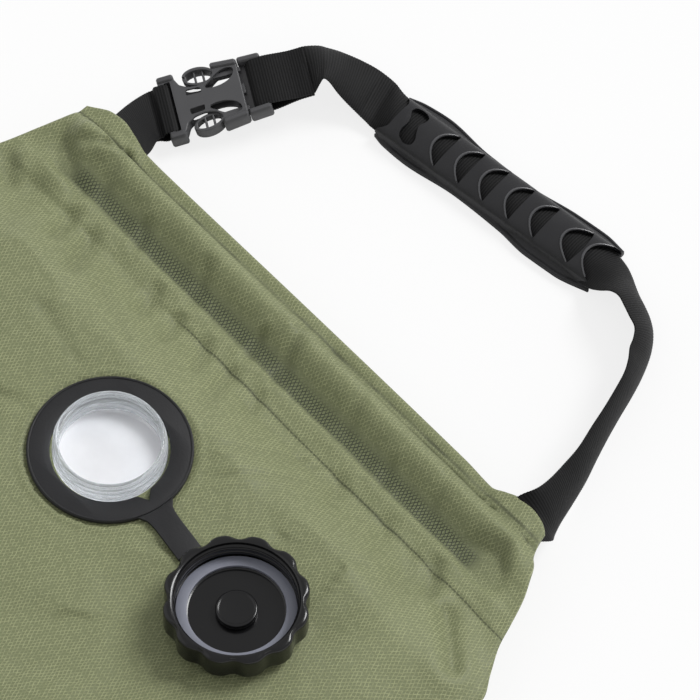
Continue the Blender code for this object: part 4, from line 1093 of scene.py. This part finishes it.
def sleeveMesh():
    # rings of points along the sleeve: its top, the lip on each side and its flat underside
    columns, rows, base = sleeve["columns"], sleeve["rows"], webbing["ground"]
    span = columns + 1
    points = []
    for k in range(rows + 1):
        u = k / rows
        upper, lower = [], []
        for n in range(span):
            turn = math.cos(math.pi * n / columns)
            crest = math.sin(math.pi / 2 * min(1.0, 1.9 * (1.0 - abs(turn))))
            side = (gripHalf(60.0, turn) - 0.6) * turn
            bow = sleeve["bow"] * (1 - min(abs(side) / sleeve["bowHalf"], 1.0) ** 2.3)
            x = sleeve["start"] + sleeve["blunt"] * crest**1.4 * (1 - u) + (sleeve["length"] - bow) * u
            y = (gripHalf(x, turn) - 0.6) * turn
            upper.append((x, y, gripDome(x, y)))
            lower.append((x, y, base))
        lips = []
        for side in (1, -1):
            x = sleeve["start"] + sleeve["length"] * u
            half = gripHalf(x, side)
            lip = [
                (half - 0.25, 2.95), (half, 2.6), (half, 2.1), (half - 0.5, 1.85), (half - 0.1, 1.55), (half, 0.7),
            ]
            lips.append([(x, side * y, base + z) for y, z in lip])
        points += upper + lips[1] + list(reversed(lower)) + list(reversed(lips[0]))
    around = 2 * span + 12
    faces = tubeFaces(rows, around)[:-2]
    for start in (0, rows * around):
        for n in range(columns):
            below = start + span + 6 + columns - n
            faces.append((start + n, start + n + 1, below - 1, below))
        faces.append([start + columns + n for n in range(8)])
        faces.append([start + around - 7 + n for n in range(7)] + [start])
    return meshOf("gripSleeve", points, faces)


def channelTool():
    # the channel that the webbing arches through
    halfWide = (webbing["width"] + 2 * webbing["gap"] - crownLoss(grip["crown"])) / 2
    halfThick = webbing["thickness"] / 2 + webbing["gap"]
    arch = [(share / 10, inside + grip["crown"] * (1 - (share / 10) ** 2)) for share in range(-10, 11)]
    section = [(halfWide * share, z + halfThick) for share, z in arch]
    section += [(halfWide * share, z - halfThick) for share, z in reversed(arch)]
    mesh = meshOf("channelTool", [(x, y, z) for x in (-80, 80) for y, z in section], tubeFaces(1, len(section)))
    faceOutward(mesh)
    return showObject("channelTool", mesh)


def slotShapes():
    # a waisted slot, five D shapes and a wider last one, with the bowed sides that carry rims
    outlines, rims = [rounded(waistedSlot, 2.5, 3)], []
    for x, deep in slotsAt:
        shares = [1 - n / 9 for n in range(19)]
        bulge = 1.6 if deep > 7 else 0.35
        bow = [(x + deep * abs(share) ** 2.3, sleeve["slotHalf"] * share) for share in shares]
        chord = [(x + deep + (1 - share * share) * bulge + 0.5, 9.3 * share) for share in shares]
        outlines.append(bow + list(reversed(chord)))
        rims.append(bow)
    end = [n / 14 for n in range(-12, 13)]
    rims.append([(51.9 + sleeve["bow"] * abs(share) ** 2.3, -sleeve["bowHalf"] * share) for share in end])
    return outlines, rims


def addRim(shape, rim):
    # a thin raised bead, thickest in its middle
    path = [Vector((x - 0.25, y, gripDome(x, y) + 0.02)) for x, y in rim]
    rings = []
    for n, here in enumerate(path):
        ahead = (path[min(n + 1, len(path) - 1)] - path[max(n - 1, 0)]).normalized()
        side = ahead.cross(upward).normalized()
        top = side.cross(ahead)
        thin = 0.30 + 0.34 * math.sin(math.pi * n / (len(path) - 1))
        spots = [here + (side * c + top * t) * thin for c, t in ringPoints(1.0, 6)]
        rings.append([shape.verts.new(spot * mm) for spot in spots])
    for before, after in zip(rings, rings[1:]):
        for m in range(6):
            shape.faces.new((before[m], before[(m + 1) % 6], after[(m + 1) % 6], after[m]))
    shape.faces.new(list(reversed(rings[0])))
    shape.faces.new(rings[-1])


def makeGrip():
    mesh = sleeveMesh()
    faceOutward(mesh)
    made = showObject("gripSleeve", mesh, gripRubber)
    outlines, rims = slotShapes()
    slots = slab("slotTool", outlines, inside + grip["crown"] / 2, sleeve["slotTop"])
    cutWith(made, gripRubber, channelTool(), slots)
    shape = bmesh.new()
    shape.from_mesh(made.data)
    cut = len(shape.faces)
    for rim in rims:
        addRim(shape, rim)
    shape.faces.ensure_lookup_table()
    for face in shape.faces[cut:]:
        face.material_index = 1
    shape.to_mesh(made.data)
    shape.free()
    # the rims take the lighter finish: a painted highlight
    made.data.materials.append(rimHighlightRubber)
    spin = Matrix.Rotation(math.radians(grip["turn"]), 4, "Z")
    shift = Matrix.Translation((0, grip["shift"] * mm, 0))
    made.data.transform(Matrix.Translation(Vector((grip["x"], grip["y"], 0)) * mm) @ spin @ shift)
    softEdges(made, 38)
    place(made, "grip", "grip_rubber", "grip_sleeve")


makeGrip()
print("stage: grip")


# Side-release buckle, drawn in its own frame: x across, y towards the male half, z off its face

shell = dict(plate=3.5, tube=4.6, tubeHalf=2.05, tubeAt=15.0, cavity=2.3, lean=0.11)
pad = dict(x=12.3, y=-18.4, wide=4.5, tall=7.4, lean=0.10, half=2.1, brow=3.3, holeWide=3.0, holeTall=6.3)


def flipped(points, sign):
    return [(sign * x, y) for x, y in points]


def mirrored(points):
    return points + flipped(reversed(points), -1)


def tube(name, x, start, end, tall, half, lean=0.0):
    # a rounded side rail: an oval section along y with domed ends
    points = []
    around, rows = 20, 14
    for k in range(rows + 1):
        y = start + (end - start) * k / rows
        near = min(y - start, end - y)
        swell = math.sqrt(max(1 - (1 - min(near / 1.1, 1.0)) ** 2, 0.04))
        for n in range(around):
            angle = math.tau * n / around
            c, t = math.cos(angle), math.sin(angle)
            sx, sz = [math.copysign(abs(v) ** 0.72, v) for v in (c, t)]
            wide, high = half * sx * (0.7 + 0.3 * swell), tall * sz * (0.75 + 0.25 * swell)
            points.append((x + lean * (y - start) + wide, y, high))
    mesh = meshOf(name, points, tubeFaces(rows, around))
    faceOutward(mesh)
    return showObject(name, mesh, bucklePlastic)


def makeFemale():
    side = [
        (14.6, -0.05), (15.6, -11), (14.2, -12.2), (11.4, -11.8), (9.2, -13.6), (7.9, -16.6), (7.4, -19.8),
        (8, -24), (10.2, -27.6), (14, -29.4), (16.8, -31.4), (16.8, -36.4), (16, -37.2),
    ]
    plate, half = shell["plate"], shell["tubeHalf"]
    made = slab("buckleFemale", [rounded(mirrored(side), 0.9, 3)], -plate, plate, bucklePlastic, 0.75, 3)
    parts = []
    for name, start, end, lean in (("mouthBlock", -12.1, -0.05, shell["lean"]), ("earPost", -37.3, -29.6, 0.0)):
        for sign in (-1, 1):
            parts.append(tube(name, sign * shell["tubeAt"], start, end, shell["tube"], half, -lean * sign))
    cutWith(made, bucklePlastic, *parts, operation="UNION")

    tear = [
        (11.4, -2.4), (12.2, -4.8), (11.6, -8.2), (9.8, -11.4), (7.4, -14.4), (6, -16.6), (4.6, -16.2),
        (3.9, -13), (4.2, -9), (5.4, -5.4), (7.4, -3), (9.6, -2),
    ]
    slit = [(3.3, -18.4), (6.2, -18.8), (6.6, -25.4), (3.6, -25.8)]
    slot = [(-13.0, -34.4), (13.0, -34.4), (13.0, -31.5), (-13.0, -31.5)]
    holes = []
    for sign in (-1, 1):
        holes += [flipped(rounded(tear, 1.2, 2), sign), flipped(rounded(slit, 0.8, 3), sign)]
    windows = slab("windowTool", holes + [rounded(slot, 0.6, 3)], -9.0, 9.0)
    cavity = [(12.2, 3.0), (12.6, -12.0), (9.8, -15.0), (9.8, -28.0), (5.2, -28.0), (5.2, -17.0), (2.6, -16.0)]
    hollow = slab("hollowTool", [mirrored(cavity)], -shell["cavity"], shell["cavity"])
    cutWith(made, bucklePlastic, windows, hollow)
    return made


def makeMale():
    frameSide = [(13.6, 4.2), (13.6, 0.35), (12.0, 0.35), (11.6, -1.6), (2.0, -1.6)]
    made = slab("buckleMale", [mirrored(frameSide)], -1.9, -0.3, bucklePlastic, 0.3)
    rod = mirrored([(14.0, 5.8), (14.0, 8.6)])
    rod = slab("maleRod", [rod], -1.9, 1.9, bucklePlastic, 0.5)
    tongue = slab("maleTongue", [mirrored([(2.5, 1.0), (2.2, -14.0)])], -1.6, 1.6, bucklePlastic, 0.3)
    tall, half = shell["tube"] - 0.2, shell["tubeHalf"] - 0.1
    rails = [tube("maleRail", sign * 13.9, 0.35, 10.8, tall, half, -0.05 * sign) for sign in (-1, 1)]
    cutWith(made, bucklePlastic, rod, tongue, *rails, operation="UNION")
    return made


def makeArm(name, sign):
    # a push pad: an oval ring crossed by two ribs, on an arm that runs back to the mouth
    ring = []
    for n in range(48):
        t = math.tau * n / 48
        x = pad["x"] + pad["wide"] * math.cos(t) - pad["lean"] * 7.6 * math.sin(t)
        ring.append((sign * x, pad["y"] + pad["tall"] * math.sin(t)))
    holes = []
    for low, high in ((-24.0, -20.5), (-19.6, -16.7), (-15.8, -12.7)):
        hole = []
        for way, start in ((1, low), (-1, high)):
            for n in range(9):
                y = start + way * (high - low) * n / 8
                away = y - pad["y"]
                span = pad["holeWide"] * math.sqrt(max(1 - (away / pad["holeTall"]) ** 2, 0.0))
                hole.append((sign * (pad["x"] - pad["lean"] * away + way * span), y))
        holes.append(rounded(hole, 0.3, 1))
    made = slab("buckleArm" + name, [ring] + holes, -pad["half"], pad["half"], bucklePlastic, 0.4)
    arc = [math.radians(d) for d in range(-80, 81, 8)]
    brow = [(pad["wide"] * math.cos(t), pad["tall"] * math.sin(t)) for t in arc]
    brow += [(2.9 * math.cos(t), 6.2 * math.sin(t)) for t in reversed(arc)]
    brow = [(sign * (pad["x"] + x - pad["lean"] * y), pad["y"] + y) for x, y in brow]
    brow = slab("padBrow", [brow], -pad["brow"], pad["brow"], bucklePlastic, 0.4)
    blade = [(11.4, 0.9), (9.3, 0.9), (9.0, -6.0), (9.3, -12.8), (11.7, -12.6), (11.3, -6.0)]
    blade = slab("armBlade", [flipped(blade, sign)], -1.7, 1.7, bucklePlastic, 0.25)
    cutWith(made, bucklePlastic, blade, brow, operation="UNION")
    return made


def makeBuckle():
    for made, body, node in (
        (makeFemale(), "bag", "buckle_female"),
        (makeMale(), "buckle_male", "buckle_male_frame"),
        (makeArm("Left", -1), "arm_left", "buckle_arm_left"),
        (makeArm("Right", 1), "arm_right", "buckle_arm_right"),
    ):
        made.data.transform(buckleFrame)
        softEdges(made, 32)
        place(made, body, "buckle_plastic", node)


makeBuckle()
print("stage: buckle")


# The outlet's own CAD pieces keep their shape and get finer finishes

outletFinish = dict(outlet_spigot=outletPlastic, outlet_washer=gasketSilicone, outlet_nut=outletPlastic)
for node, finish in outletFinish.items():
    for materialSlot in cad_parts[node].material_slots:
        materialSlot.material = finish
